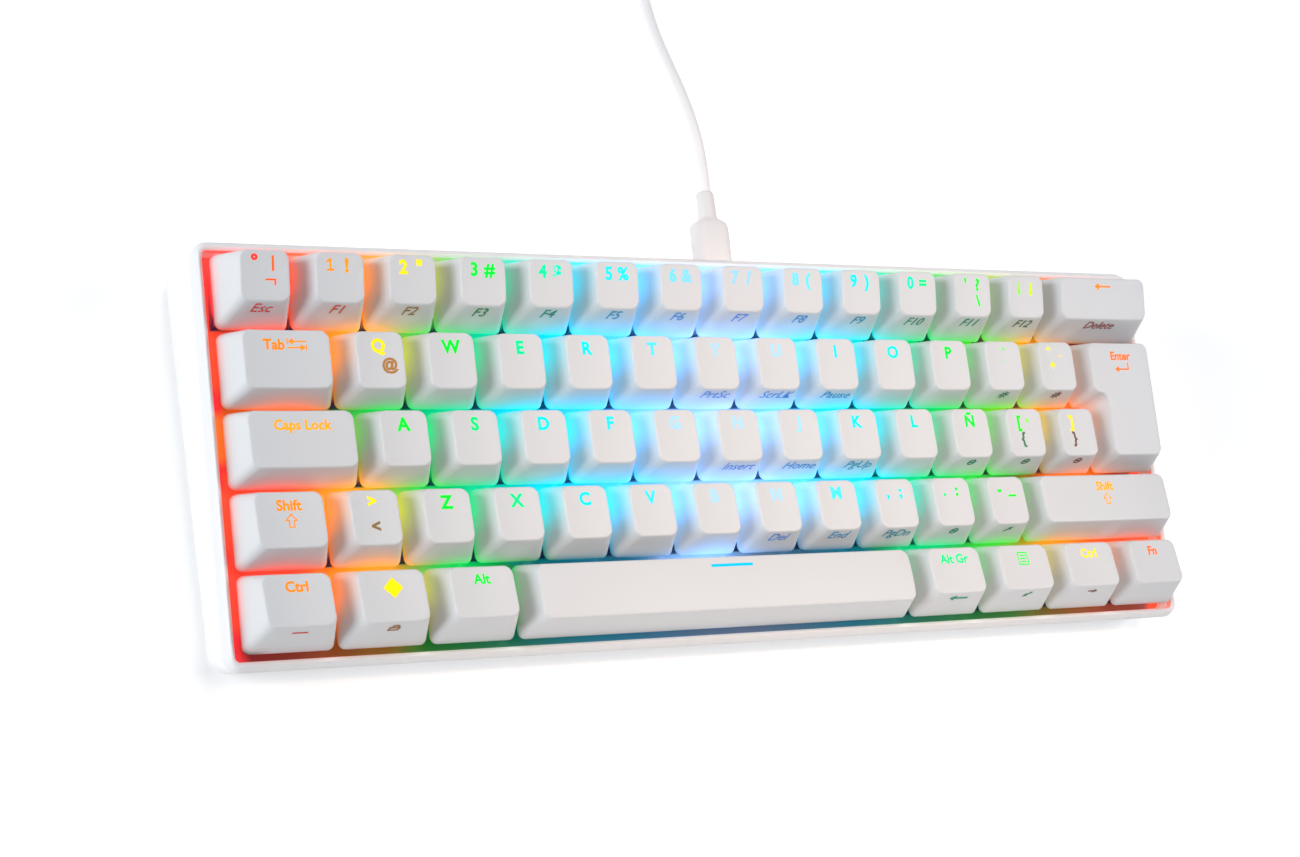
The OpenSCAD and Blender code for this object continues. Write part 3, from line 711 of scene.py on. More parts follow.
def digit_keys():
    keys = []
    for i, (sign, shifted) in enumerate(zip("1234567890'¡", "!\"#$%&/()=?¿")):
        third = [("\\", 1.9, 0.62, 2.8)] if sign == "'" else []
        keys.append(("digit_keys", 1, pair(sign, shifted) + third, [f"F{i + 1}"]))
    return keys


# Rows from the back to the front, each from left to right: the body that the key belongs to,
# its width in key units, the marks on its top and the marks on its front wall
ROWS = [
    (4, [
        ("key_escape", 1, [("º", -2.4, 0.22, 3.0), ("|", 2.2, 0.22, 2.5), ("not", 1.5, 0.62, 1.6)],
         ["Esc"]),
        *digit_keys(),
        ("key_backspace", 2, [("arrow_left", 0.0, 0.2, 1.9)], ["Delete"]),
    ]),
    (3, [
        ("key_tab", 1.5, [("Tab", -3.1, 0.25, WORD), ("tabs", 2.7, 0.25, 2.6)], []),
        ("key_q", 1, [("Q", -0.3, 0.25, LETTER), ("@", 2.4, 0.58, 2.7)], []),
        *letter_keys("wertyuiop"),
        other([("`", -1.0, 0.17, 1.2), ("^", 0.6, 0.17, 1.2), ("'", -0.2, 0.45, 1.2)], "sun"),
        other([("*", -2.2, 0.22, 2.8), ("~", 1.8, 0.28, 1.2), ("+", -1.4, 0.48, 2.4)], "sun"),
    ]),
    (2, [
        ("key_caps_lock", 1.75, [("Caps Lock", 0.4, 0.25, 2.3)], []),
        *letter_keys("asdfghjkl"),
        other(letter("Ñ"), "dot"),
        other([("[", -1.6, 0.27, 3.2), ("^", 1.4, 0.27, 1.8), ("{", -1.0, 0.62, 3.0)], "dot"),
        other([("]", -1.8, 0.27, 3.2), ("`", 0.8, 0.24, 1.2), ("}", -1.4, 0.62, 3.0)], "dot"),
        ("key_enter", 1.5, [("Enter", 0.6, 0.115, 2.3), ("return", 0.6, 0.21, 2.4)], []),
    ]),
    (1, [
        ("key_left_shift", 1.25, word("Shift") + [("shift", 0.2, 0.52, 3.4)], []),
        other([(">", -0.4, 0.2, 2.8), ("<", -0.2, 0.66, 2.8)]),
        *letter_keys("zxcvbnm"),
        other(pair(",", ";"), "PgDn"),
        other(pair(".", ":"), "dot"),
        other(pair("-", "_"), "arrow_up"),
        ("key_right_shift", 2.75, [("Shift", 0.3, 0.24, WORD), ("shift", 0.5, 0.52, 3.4)], []),
    ]),
    (0, [
        other(word("Ctrl"), "bar", width=1.25),
        other([("diamond", 0.3, 0.34, 5.0)], "lock", width=1.25),
        other(word("Alt"), width=1.25),
        ("key_space", 6.25, [("space_bar", 0, 0.16, 0.7)], []),
        other(word("Alt Gr"), "arrow_left", width=1.25),
        other([("menu", 0, 0.3, 3.6)], "arrow_down", width=1.25),
        other(word("Ctrl"), "arrow_right", width=1.25),
        other(word("Fn"), width=1.25),
    ]),
]


def make_keys():
    keys = []
    for row, entries in ROWS:
        left = 0
        for body, width, marks, front in entries:
            kind = EnterKey if body == "key_enter" else Key
            key = kind(body, row, left, width, marks, front)
            if body == "key_space":
                key.profile = SPACE_PROFILE
                key.crowned = True
            keys.append(key)
            left += width
    return keys


KEYS = make_keys()
LIGHTS = [(key.centre_x(), key.middle_y() + LED_OFFSET) for key in KEYS]


# ---------------------------------------------------------------- signs
def stroke(points, width):
    """Short four-sided pieces along a line, so that they can follow a curved surface."""
    pieces = []
    for (x0, y0), (x1, y1) in zip(points, points[1:]):
        length = math.hypot(x1 - x0, y1 - y0)
        dx, dy = (x1 - x0) / length, (y1 - y0) / length
        nx, ny = -dy * width / 2, dx * width / 2
        count = max(1, round(length / 0.8))
        for i in range(count):
            a = length * i / count - (width / 2 if i == 0 else 0)
            b = length * (i + 1) / count + (width / 2 if i == count - 1 else 0)
            ax, ay, bx, by = x0 + dx * a, y0 + dy * a, x0 + dx * b, y0 + dy * b
            pieces.append(
                [(ax - nx, ay - ny), (bx - nx, by - ny), (bx + nx, by + ny), (ax + nx, ay + ny)]
            )
    return pieces


def arrow(length, head, width, direction):
    """An arrow with a solid head, centred, pointing along a direction."""
    dx, dy = direction
    tip = (dx * length / 2, dy * length / 2)
    neck = (tip[0] - dx * head, tip[1] - dy * head)
    tail = (-dx * length / 2, -dy * length / 2)
    side = (-dy * head * 0.62, dx * head * 0.62)
    barb = [tip, (neck[0] + side[0], neck[1] + side[1]), (neck[0] - side[0], neck[1] - side[1])]
    return stroke([tail, neck], width) + [barb]


def moved(pieces, x, y):
    return [[(px + x, py + y) for px, py in piece] for piece in pieces]


def circle_line(radius, width):
    turn = circle(radius, 10)
    return stroke(turn + turn[:1], width)


# Drawn signs: arrows as (length, head, width, direction), the others as (line, width) pieces
ARROWS = {
    "arrow_left": (5.8, 1.7, 0.5, (-1, 0)),
    "arrow_right": (3.0, 1.2, 0.36, (1, 0)),
    "arrow_up": (2.6, 1.2, 0.36, (0.7, 0.7)),
    "arrow_down": (2.6, 1.2, 0.36, (-0.7, -0.7)),
}
LINES = {
    "1": [([(-0.8, 0.75), (0, 1.25), (0, -1.2)], 0.5), ([(-0.75, -1.2), (0.75, -1.2)], 0.46)],
    "bar": [([(-1.8, 0), (1.8, 0)], 0.3)],
    "lock": [
        ([(-1.25, -0.9), (1.25, -0.9), (1.25, 0.1), (-1.25, 0.1), (-1.25, -0.9)], 0.3),
        ([(-0.75, 0.1), (-0.65, 0.9), (0.65, 0.9), (0.75, 0.1)], 0.28),
    ],
    "menu": [
        ([(-1.6, -1.7), (1.6, -1.7), (1.6, 1.7), (-1.6, 1.7), (-1.6, -1.7)], 0.34),
        *[([(-0.8, y), (0.8, y)], 0.34) for y in (0.85, 0, -0.85)],
    ],
    "not": [([(-1.1, 0.5), (1.1, 0.5), (1.1, -0.6)], 0.42)],
    "shift": [([
        (0, 1.6), (1.35, 0.1), (0.62, 0.1), (0.62, -1.5), (-0.62, -1.5), (-0.62, 0.1),
        (-1.35, 0.1), (0, 1.6),
    ], 0.3)],
    "space_bar": [([(-5.9, 0), (5.9, 0)], 0.75)],
}


def sign_pieces(name, height):
    """Flat convex pieces of a drawn sign, centred on its place."""
    if name in ARROWS:
        return arrow(*ARROWS[name])
    if name in LINES:
        return [piece for line, width in LINES[name] for piece in stroke(line, width)]
    if name == "tabs":
        pieces = []
        for way in (-1, 1):
            bar = stroke([(2.35 * way, -0.55), (2.35 * way, 0.55)], 0.3)
            pieces += moved(arrow(4.4, 1.3, 0.34, (way, 0)) + bar, 0, -0.75 * way)
        return pieces
    if name == "return":
        head = moved(arrow(4.8, 1.5, 0.42, (-1, 0)), -0.2, -0.8)
        return head + stroke([(2.4, -0.8), (2.4, 0.9)], 0.42)
    if name == "diamond":
        tips = circle(height / 2, 4)
        return [[(0, 0), a, b] for a, b in zip(tips, tips[1:] + tips[:1])]
    if name == "sun":
        rays = [stroke(list(ends), 0.26) for ends in zip(circle(1.05, 8), circle(1.45, 8))]
        return circle_line(0.62, 0.26) + sum(rays, [])
    if name == "dot":
        return circle_line(1.05, 0.3) + stroke([(-0.45, 0), (0.45, 0)], 0.4)
    return None


def flat_text(body, size, lean=0.0, weight=0.0):
    """Points and faces of a text in the plain built-in font."""
    curve = bpy.data.curves.new("legend_text", "FONT")
    curve.body = body
    curve.size = size
    curve.shear = lean
    curve.offset = weight
    curve.resolution_u = 3
    curve.align_x = "CENTER"
    holder = bpy.data.objects.new("legend_text", curve)
    bpy.context.collection.objects.link(holder)
    bpy.context.view_layer.update()
    graph = bpy.context.evaluated_depsgraph_get()
    mesh = bpy.data.meshes.new_from_object(holder.evaluated_get(graph))
    points = [(v.co.x, v.co.y) for v in mesh.vertices]
    faces = [tuple(p.vertices) for p in mesh.polygons]
    bpy.data.objects.remove(holder)
    bpy.data.curves.remove(curve)
    bpy.data.meshes.remove(mesh)
    return points, faces


CAPITAL_LEVELS = [y for _, y in flat_text("H", 1.0)[0]]
CAPITAL_HEIGHT = max(CAPITAL_LEVELS) - min(CAPITAL_LEVELS)


def text_mesh(text, height, lean, weight, narrow):
    """Flat faces of a text whose capitals have that height, centred, as points and faces."""
    points, faces = flat_text(text, height / CAPITAL_HEIGHT, lean, weight)
    xs = [x for x, _ in points]
    middle = (min(xs) + max(xs)) / 2
    return [((x - middle) * narrow, y - height / 2) for x, y in points], faces


def add_prism(shape, points, faces, surface, colour, slot, lift=0.02, sink=0.25):
    """Lays flat faces on a surface as a thin closed solid that is let into it."""
    merged = {}
    order = []
    index = []
    for x, y in points:
        tag = (round(x, 4), round(y, 4))
        if tag not in merged:
            merged[tag] = len(order)
            order.append((x, y))
        index.append(merged[tag])
    roof = [shape.add_point(surface(x, y, lift), colour) for x, y in order]
    base = [shape.add_point(surface(x, y, -sink), colour) for x, y in order]
    edges = {}
    for face in faces:
        corners_in = [index[i] for i in face]
        corners_in = [c for c, d in zip(corners_in, corners_in[1:] + corners_in[:1]) if c != d]
        if len(set(corners_in)) < 3:
            continue
        area = 0
        for a, b in zip(corners_in, corners_in[1:] + corners_in[:1]):
            area += order[a][0] * order[b][1] - order[b][0] * order[a][1]
        if area < 0:
            corners_in = corners_in[::-1]
        shape.add_face([roof[i] for i in corners_in], slot)
        shape.add_face([base[i] for i in corners_in[::-1]], slot)
        for a, b in zip(corners_in, corners_in[1:] + corners_in[:1]):
            if (b, a) in edges:
                del edges[(b, a)]
            else:
                edges[(a, b)] = True
    for a, b in edges:
        shape.add_face([roof[b], roof[a], base[a], base[b]], slot)


def add_mark(shape, name, height, surface, colour, slot, lean=0.0, weight=0.0, narrow=1.0):
    pieces = sign_pieces(name, height)
    if pieces is None:
        points, faces = text_mesh(name, height, lean, weight, narrow)
        add_prism(shape, points, faces, surface, colour, slot)
        return
    for piece in pieces:
        sheared = [(x + lean * y, y) for x, y in piece]
        add_prism(shape, sheared, [tuple(range(len(piece)))], surface, colour, slot)


# Legends in the tops are brighter and cleaner than the light between the keys
LEGEND_RAINBOW = [
    (0.0, (1.00, 0.02, 0.03)),
    (0.5, (1.00, 0.05, 0.02)),
    (0.8, (1.00, 0.24, 0.00)),
    (1.6, (1.00, 0.30, 0.00)),
    (2.0, (1.00, 0.66, 0.00)),
    (2.6, (0.95, 0.80, 0.00)),
    (2.9, (0.00, 0.80, 0.01)),
    (4.0, (0.00, 0.80, 0.07)),
    (4.6, (0.00, 0.80, 0.50)),
    (5.2, (0.00, 0.78, 0.85)),
    (6.0, (0.02, 0.70, 0.95)),
    (6.8, (0.26, 0.58, 0.98)),
    (8.0, (0.24, 0.60, 0.98)),
    (9.0, (0.00, 0.74, 0.90)),
    (10.2, (0.00, 0.78, 0.62)),
    (10.8, (0.00, 0.80, 0.06)),
    (12.2, (0.02, 0.80, 0.02)),
    (12.7, (0.72, 0.80, 0.00)),
    (13.2, (1.00, 0.72, 0.00)),
    (13.8, (1.00, 0.26, 0.00)),
    (14.5, (1.00, 0.13, 0.01)),
    (15.0, (1.00, 0.12, 0.02)),
]
# Legends without light of their own, printed on the front walls: darker and duller; their rainbow
# colour is painted key light
INK_RAINBOW = [
    (0.0, (0.80, 0.05, 0.06)),
    (1.5, (0.60, 0.07, 0.03)),
    (2.5, (0.30, 0.17, 0.04)),
    (3.5, (0.01, 0.24, 0.05)),
    (4.5, (0.00, 0.30, 0.22)),
    (6.0, (0.05, 0.34, 0.68)),
    (7.5, (0.13, 0.30, 0.78)),
    (9.0, (0.03, 0.32, 0.58)),
    (10.5, (0.01, 0.30, 0.18)),
    (12.0, (0.02, 0.25, 0.10)),
    (12.8, (0.13, 0.10, 0.05)),
    (13.6, (0.28, 0.06, 0.05)),
    (15.0, (0.45, 0.04, 0.03)),
]

# Marks printed without light of their own; their colour is painted key light
UNLIT_MARKS = {"<", "{", "}"}
PALE = (6.3, 8.6)
PALE_SHARE = 0.3
PALE_TINT = (0.55, 0.65, 0.95)
STROKE_WEIGHT = 0.045
LETTER_WEIGHT = 0.058
# The @ is printed without light of its own; its dim orange is painted key light
DIM_MARK = "@"
DIM_TINT = (0.52, 0.21, 0.03)
SPACE_TINT = (0.0, 0.50, 0.82)
FRONT_WEIGHT = -0.045


def add_legends(shape, key):
    x0, x1, y0, y1 = key.top_span()
    for name, across, down, height in key.marks:
        cx, cy = (x0 + x1) / 2 + across, y1 - down * (y1 - y0)

        def on_top(x, y, lift, cx=cx, cy=cy):
            return (cx + x, cy + y, key.top_z(cx + x, cy + y) + lift)

        place = along_rainbow(cx, cy)
        tint = ramp(LEGEND_RAINBOW, place)
        slot = 0
        if 1 <= key.row <= 3 and PALE[0] < place < PALE[1]:
            tint = [t + PALE_SHARE * (p - t) for t, p in zip(tint, PALE_TINT)]
        if name in UNLIT_MARKS:
            tint, slot = ramp(INK_RAINBOW, place), 1
        if name == "space_bar":
            tint = SPACE_TINT
        if name == DIM_MARK:
            tint, slot = DIM_TINT, 1
        weight = LETTER_WEIGHT if len(name) == 1 else STROKE_WEIGHT
        add_mark(shape, name, height, on_top, (*tint, 1), slot, weight=weight * height)
    wall_run, wall_rise = key.profile[1], key.profile[3]
    slant = math.hypot(wall_run, wall_rise)
    up = Vector((0, wall_run / slant, wall_rise / slant))
    out = Vector((0, -wall_rise / slant, wall_run / slant))
    foot = Vector((key.centre_x(), unit_y(key.bottom) + GAP / 2, 0))
    middle = foot + up * (slant - FRONT_MARK_DROP)

    def on_wall(x, y, lift):
        return tuple(middle + Vector((x, 0, 0)) + up * y + out * lift)

    # Painted key light: the printed front marks take the colour of the key lights there
    tint = ramp(INK_RAINBOW, along_rainbow(foot.x, foot.y))
    for name in key.front:
        add_mark(
            shape, name, FRONT_MARK, on_wall, (*tint, 1), 1, lean=0.25, narrow=0.92, weight=FRONT_WEIGHT
        )


def make_key_pieces():
    bodies = {}
    for key in KEYS:
        bodies.setdefault(key.body, []).append(key)
    for node, keys in bodies.items():
        caps, stems, springs, legends = Shape(), Shape(), Shape(), Shape()
        for key in keys:
            add_keycap(caps, key)
            stem_x = unit_x(TALL_STEM_U) if key.is_tall() else key.centre_x()
            add_stem(stems, stem_x, key.middle_y())
            add_spring(springs, stem_x, key.middle_y())
            add_legends(legends, key)
        body = node + "_body"
        keycap = caps.build("keycap_" + node, [CAP_WHITE])
        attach(keycap, body)
        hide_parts(node)
        stem = stems.build("stem_" + node, [STEM], smooth=False)
        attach(stem, body)
        spring = springs.build("spring_" + node, [WIRE])
        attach(spring, "base")
        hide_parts("switch_springs")
        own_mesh(spring)
        marks = legends.build("legend_" + node, [LEGEND_LIGHT, LEGEND_INK], layer="tint", smooth=False)
        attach(marks, body)


make_key_pieces()

# ---------------------------------------------------------------- lead
CORD_DIAMETER = 3.6
PORT_X = 8.5
BOARD_BOTTOM_Z = -12.9
PORT_Z = BOARD_BOTTOM_Z - 1.6
GRIP = (11.0, 6.4)
GRIP_CORNER = 2.6
GRIP_FRONT_Y = 47.6
SLEEVE_END_Y = 73.5
USB_A = (16, 8)
USB_A_CORNER = 1.5
COIL_CENTRE = Vector((35, 182))
COIL_RADIUS = 26.0
COIL_LAYERS = 4
COIL_TURNS = 10 + 1 / 6
COIL_BASE_Z = 2.4
COIL_CLIMB = 0.22
USB_A_START = Vector((57, 214, 4))
LEAD_ROUTE = [
    (8.5, 80.3, 15.9), (8.5, 88, 16.0), (8.5, 96, 14.9), (8.6, 104, 12.7), (8.7, 112, 9.8),
    (8.8, 120, 6.8), (8.9, 128, 4.2), (9, 136, 2.5), (9, 144, 1.8), (9, 152, 1.8), (9, 160, 2.0),
    (9, 168, 2.4),
]
TAIL_ROUTE = [
    (31.5, 209.6, 12.3), (37, 211.6, 10.4), (42.5, 213, 7.8), (48, 213.8, 5.2), (53, 214, 4.0),
    (57, 214, 4.0),
]


def on_desk(x, y, z):
    """A point of the key plane, given on the desk in millimetres."""
    return (PLANE @ Vector((x, y, z))) / MM


def coil_points(per_turn=30):
    """The wound-up lead: spirals in and out in turn, one layer on another."""
    points = []
    count = round(COIL_TURNS * per_turn)
    layer_turns = COIL_TURNS / COIL_LAYERS
    inner = COIL_RADIUS - layer_turns * CORD_DIAMETER
    for i in range(count + 1):
        turn = COIL_TURNS * i / count
        layer = min(COIL_LAYERS - 1, int(turn / layer_turns))
        share = turn / layer_turns - layer
        start, stop = (COIL_RADIUS, inner) if layer % 2 == 0 else (inner, COIL_RADIUS)
        radius = start + (stop - start) * share
        z = COIL_BASE_Z
        for border in range(1, COIL_LAYERS):
            t = (turn - border * layer_turns) / (2 * COIL_CLIMB) + 0.5
            t = min(1.0, max(0.0, t))
            z += CORD_DIAMETER * t * t * (3 - 2 * t)
        angle = math.pi - 2 * math.pi * turn
        x = COIL_CENTRE.x + radius * math.cos(angle)
        points.append((x, COIL_CENTRE.y + radius * math.sin(angle), z))
    return points


def smoothed(points, pieces=4):
    """Catmull-Rom curve through points."""
    path = [Vector(p) for p in points]
    path = [2 * path[0] - path[1]] + path + [2 * path[-1] - path[-2]]
    result = []
    for a, b, c, d in zip(path, path[1:], path[2:], path[3:]):
        for k in range(pieces):
            t = k / pieces
            result.append(0.5 * (
                2 * b + (c - a) * t + (2 * a - 5 * b + 4 * c - d) * t * t
                + (3 * b - a - 3 * c + d) * t ** 3
            ))
    return result + [path[-2]]


def make_lead():
    start = on_desk(PORT_X, SLEEVE_END_Y, PORT_Z)
    coil = coil_points()
    path = smoothed([start] + LEAD_ROUTE + coil[:2])[:-4]
    path += [Vector(p) for p in coil[1:-1]]
    path += smoothed(coil[-2:] + TAIL_ROUTE)[4:]
    curve = bpy.data.curves.new("lead", "CURVE")
    curve.dimensions = "3D"
    spline = curve.splines.new("POLY")
    spline.points.add(len(path) - 1)
    for point, place in zip(spline.points, path):
        point.co = (*(place * MM), 1)
    curve.bevel_depth = CORD_DIAMETER / 2 * MM
    curve.bevel_resolution = 5
    curve.use_fill_caps = True
    curve.materials.append(CORD_WHITE)
    lead = bpy.data.objects.new("lead", curve)
    bpy.context.collection.objects.link(lead)
    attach(lead, "base")
    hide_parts("cable_lead", "cable_coil")
    return lead, start * MM


def section_ring(width, height, radius, y):
    """Rounded section of a bar along Y, as points round Y."""
    outline = rounded_outline(rectangle(width / 2, height / 2), radius, 6, 2)
    return [(x, y, -z) for x, z in outline]


def round_ring(diameter, y):
    return section_ring(diameter, diameter, diameter / 2 - 0.01, y)


def lofted(shape, rings):
    """Closed solid through rings of points that turn counterclockwise, seen from its far end."""
    made = [shape.add_ring(r) for r in rings]
    shape.bridge(*made)
    ends = ((made[0][::-1], rings[0]), (made[-1], rings[-1]))
    for ring, points in ends:
        centre = sum((Vector(p) for p in points), Vector()) / len(points)
        shape.fan(ring, shape.add_point(centre))


def make_usb_c_grip():
    """Overmoulded grip with soft edges, then a tapered sleeve with relief ribs."""
    width, height = GRIP
    rings = []
    for inset, y in ((0.9, 0), (0.35, 0.15), (0.08, 0.5), (0, 1.0), (0, 5)):
        corner = GRIP_CORNER - inset * 0.8
        rings.append(section_ring(width - 2 * inset, height - 2 * inset, corner, GRIP_FRONT_Y + y))
    for share, y in ((0.0, 15.2), (0.1, 16.3), (0.3, 17.0), (0.62, 17.5), (1.0, 17.9)):
        across = width + (6.4 - width) * share
        up = height + (5.6 - height) * share
        rings.append(section_ring(across, up, min(GRIP_CORNER, up / 2 - 0.02), GRIP_FRONT_Y + y))
    for diameter, y in ((5.5, 18.1), (5.2, 18.8), (5.15, 20), (5.05, 22), (4.95, 24), (4.85, 25.2),
                        (4.5, 25.7), (3.9, 25.9)):
        rings.append(round_ring(diameter, GRIP_FRONT_Y + y))
    shape = Shape()
    lofted(shape, rings)
    place = PLANE @ Matrix.Translation((PORT_X, 0, PORT_Z))
    grip = shape.build("usb_c_grip", [PLUG_WHITE], place=place)
    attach(grip, "base")
    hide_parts("cable_plug")
    return grip


def make_usb_a_body():
    """Moulded body of the USB-A plug with soft edges, grip grooves and its strain relief."""
    relief = ((3.7, 0.0), (4.5, 0.1), (4.7, 1.2), (5.2, 3.2), (5.45, 4.6))
    rings = [round_ring(diameter, y) for diameter, y in relief]
    profile = [(3.2, 5.0), (1.2, 5.1), (0.4, 5.5), (0.1, 6.1), (0, 6.8), (0, 9)]
    for k in range(3):
        groove = ((0, 0), (0.35, 0.3), (0.35, 0.9), (0, 1.2))
        profile += [(inset, 11 + 2.4 * k + y) for inset, y in groove]
    profile += [(0, 29.5), (0.1, 30.3), (0.4, 30.8), (1.0, 31)]
    for inset, y in profile:
        height = USB_A[1] - 2 * min(inset, 1.3)
        rings.append(section_ring(USB_A[0] - 2 * inset, height, USB_A_CORNER, y))
    shape = Shape()
    lofted(shape, rings)
    place = DESK @ Matrix.Translation(USB_A_START) @ Matrix.Rotation(-math.pi / 2, 4, "Z")
    body = shape.build("usb_a_body", [PLUG_WHITE], place=place)
    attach(body, "base")
    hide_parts("usb_a_plug")
    return body


TIE_WIDTH = 10.0
TIE_THICKNESS = 0.45
TIE_GAP = 0.12
TIE_STEPS = 8


def make_tie():
    """Woven strap round the turns of the lead: a rounded section swept along a short arc."""
    inner = COIL_RADIUS - COIL_TURNS / COIL_LAYERS * CORD_DIAMETER - CORD_DIAMETER / 2
    outer = COIL_RADIUS + CORD_DIAMETER / 2
    middle = (inner + outer) / 2
    size = Vector((outer - inner, COIL_LAYERS * CORD_DIAMETER))
    lift = COIL_BASE_Z - CORD_DIAMETER / 2 + size.y / 2

    def section(margin, along):
        grown = size / 2 + Vector((margin, margin))
        outline = rounded_outline(rectangle(*grown), CORD_DIAMETER / 2 + margin, 6, 3)
        points = []
        for across, up in outline:
            radius = middle + across
            angle = math.asin(TIE_WIDTH / 2 / radius) * along
            points.append((radius * math.cos(angle), radius * math.sin(angle), up + lift))
        return points

    outside = TIE_GAP + TIE_THICKNESS
    soft = TIE_THICKNESS / 3
    stations = [(outside - soft, -1.0)]
    stations += [(outside, -0.95 + 1.9 * k / TIE_STEPS) for k in range(TIE_STEPS + 1)]
    stations += [(outside - soft, 1.0)]
    stations += [(TIE_GAP, 1.0 - 2 * k / TIE_STEPS) for k in range(TIE_STEPS + 1)]
    shape = Shape()
    made = [shape.add_ring(section(margin, along)) for margin, along in stations]
    shape.bridge(made[0], *made[::-1])
    place = DESK @ Matrix.Translation((COIL_CENTRE.x, COIL_CENTRE.y, 0))
    tie = shape.build("lead_tie", [STRAP], place=place)
    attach(tie, "base")
    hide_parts("cable_tie")
    return tie


def make_cord():
    lead, exit_place = make_lead()
    pieces = [
        make_usb_c_grip(), make_usb_a_body(), make_tie(),
        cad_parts["cable_plug_shell"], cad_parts["usb_a_plug_shell"],
    ]


make_cord()

# ---------------------------------------------------------------- case
CASE = (292.0, 102.1)
CASE_CORNER = 4.5
OPENING = (287.2, 97.3)
OPENING_CORNER = 1.2
RIM_Z = -0.7
SEAM_Z = -3.0
RIM_BOTTOM = -7.5
RIM_GLOW = (1.0, 6)
RIM_GLOW_DEPTH = 5.0
RIM_BACK_SHARE = 0.2
WALL_DRAFT = 0.103
LIP = 1.1
LIP_FALL = 0.55
LIP_CORNER = 2.2
LIP_SHARE = 0.85
TRAY_WALL = 2.4
TRAY_FLOOR = 1.6
TRAY_SOFT = 0.9
FLOOR_Z = 1.4
PLATE_TOP_Z = -6.3
EDGE_SHADE = (0.05, 0.06, 0.09)
EDGE_SHADE_AMOUNT = 0.75


def frame_ring(size, radius, z):
    outline = rounded_outline(rectangle(size[0] / 2, size[1] / 2), radius, 8, 24)
    return [(x, y, z) for x, y in outline]


def shrunk(size, by):
    return (size[0] - by, size[1] - by)


def rim_glow(x, y, z):
    """Light on the frame's inner wall: more of it low down, little along the back."""
    share = RIM_BACK_SHARE if y > OPENING[1] / 2 - 2 else 1
    gain = (RIM_GLOW[0] + RIM_GLOW[1] * ((RIM_Z - z) / RIM_GLOW_DEPTH)) * share
    return glow_at(x, y, gain=gain, spread=(12, 12))


def make_rim():
    """The bevelled frame round the keys: inner wall, flat lip, bevel and a skirt in the tray."""
    lip = shrunk(OPENING, -2 * LIP)
    skirt = shrunk(CASE, 3.0)
    under_lip = [lip[k] * LIP_SHARE + CASE[k] * (1 - LIP_SHARE) for k in (0, 1)]
    stack = [
        (skirt, CASE_CORNER - 1.4, RIM_BOTTOM),
        (skirt, CASE_CORNER - 1.4, SEAM_Z + 0.02),
        (shrunk(CASE, 0.5), CASE_CORNER - 0.2, SEAM_Z + 0.02),
        (shrunk(CASE, 0.12), CASE_CORNER, SEAM_Z + 0.1),
        (CASE, CASE_CORNER, SEAM_Z + 0.32),
        (under_lip, LIP_CORNER * LIP_SHARE + CASE_CORNER * (1 - LIP_SHARE), RIM_Z - 0.36),
        (shrunk(lip, 0.06), LIP_CORNER, RIM_Z - 0.08),
        (shrunk(lip, 0.5), LIP_CORNER - 0.2, RIM_Z),
        (shrunk(OPENING, -0.5), OPENING_CORNER + 0.2, RIM_Z - LIP_FALL),
        (shrunk(OPENING, -0.14), OPENING_CORNER + 0.05, RIM_Z - LIP_FALL - 0.08),
    ]
    inner_wall = (RIM_Z - LIP_FALL - 0.3, -3.0, -5.0, RIM_BOTTOM)
    shape = Shape()
    made = [shape.add_ring(frame_ring(size, radius, z)) for size, radius, z in stack]
    for z in inner_wall:
        ring = frame_ring(OPENING, OPENING_CORNER, z)
        made.append(shape.add_ring(ring, [rim_glow(*p) for p in ring]))
    shape.bridge(*made, made[0])
    rim = shape.build("case_rim", [CASE_WHITE])
    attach(rim, "base")
    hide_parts("case_frame")


def wall_point(x, y, depth, size):
    """A point of the tray's leaning wall, that far below the seam."""
    half_x, half_y = size[0] / 2, size[1] / 2
    lean = WALL_DRAFT * depth
    return Vector((x * (1 - lean / half_x), y * (1 - lean / half_y), SEAM_Z - depth))


def depth_to_level(x, y, level, size):
    """How far below the seam the leaning wall comes down to a level above the desk."""
    depth = 10.0
    for _ in range(6):
        here = on_desk(*wall_point(x, y, depth, size))
        depth += (here.z - level) / math.cos(TILT)
    return depth


def wall_at_level(outline, level, size):
    """The leaning wall's outline where it comes down to a level, on the desk."""
    return [on_desk(*wall_point(x, y, depth_to_level(x, y, level, size), size)) for x, y in outline]


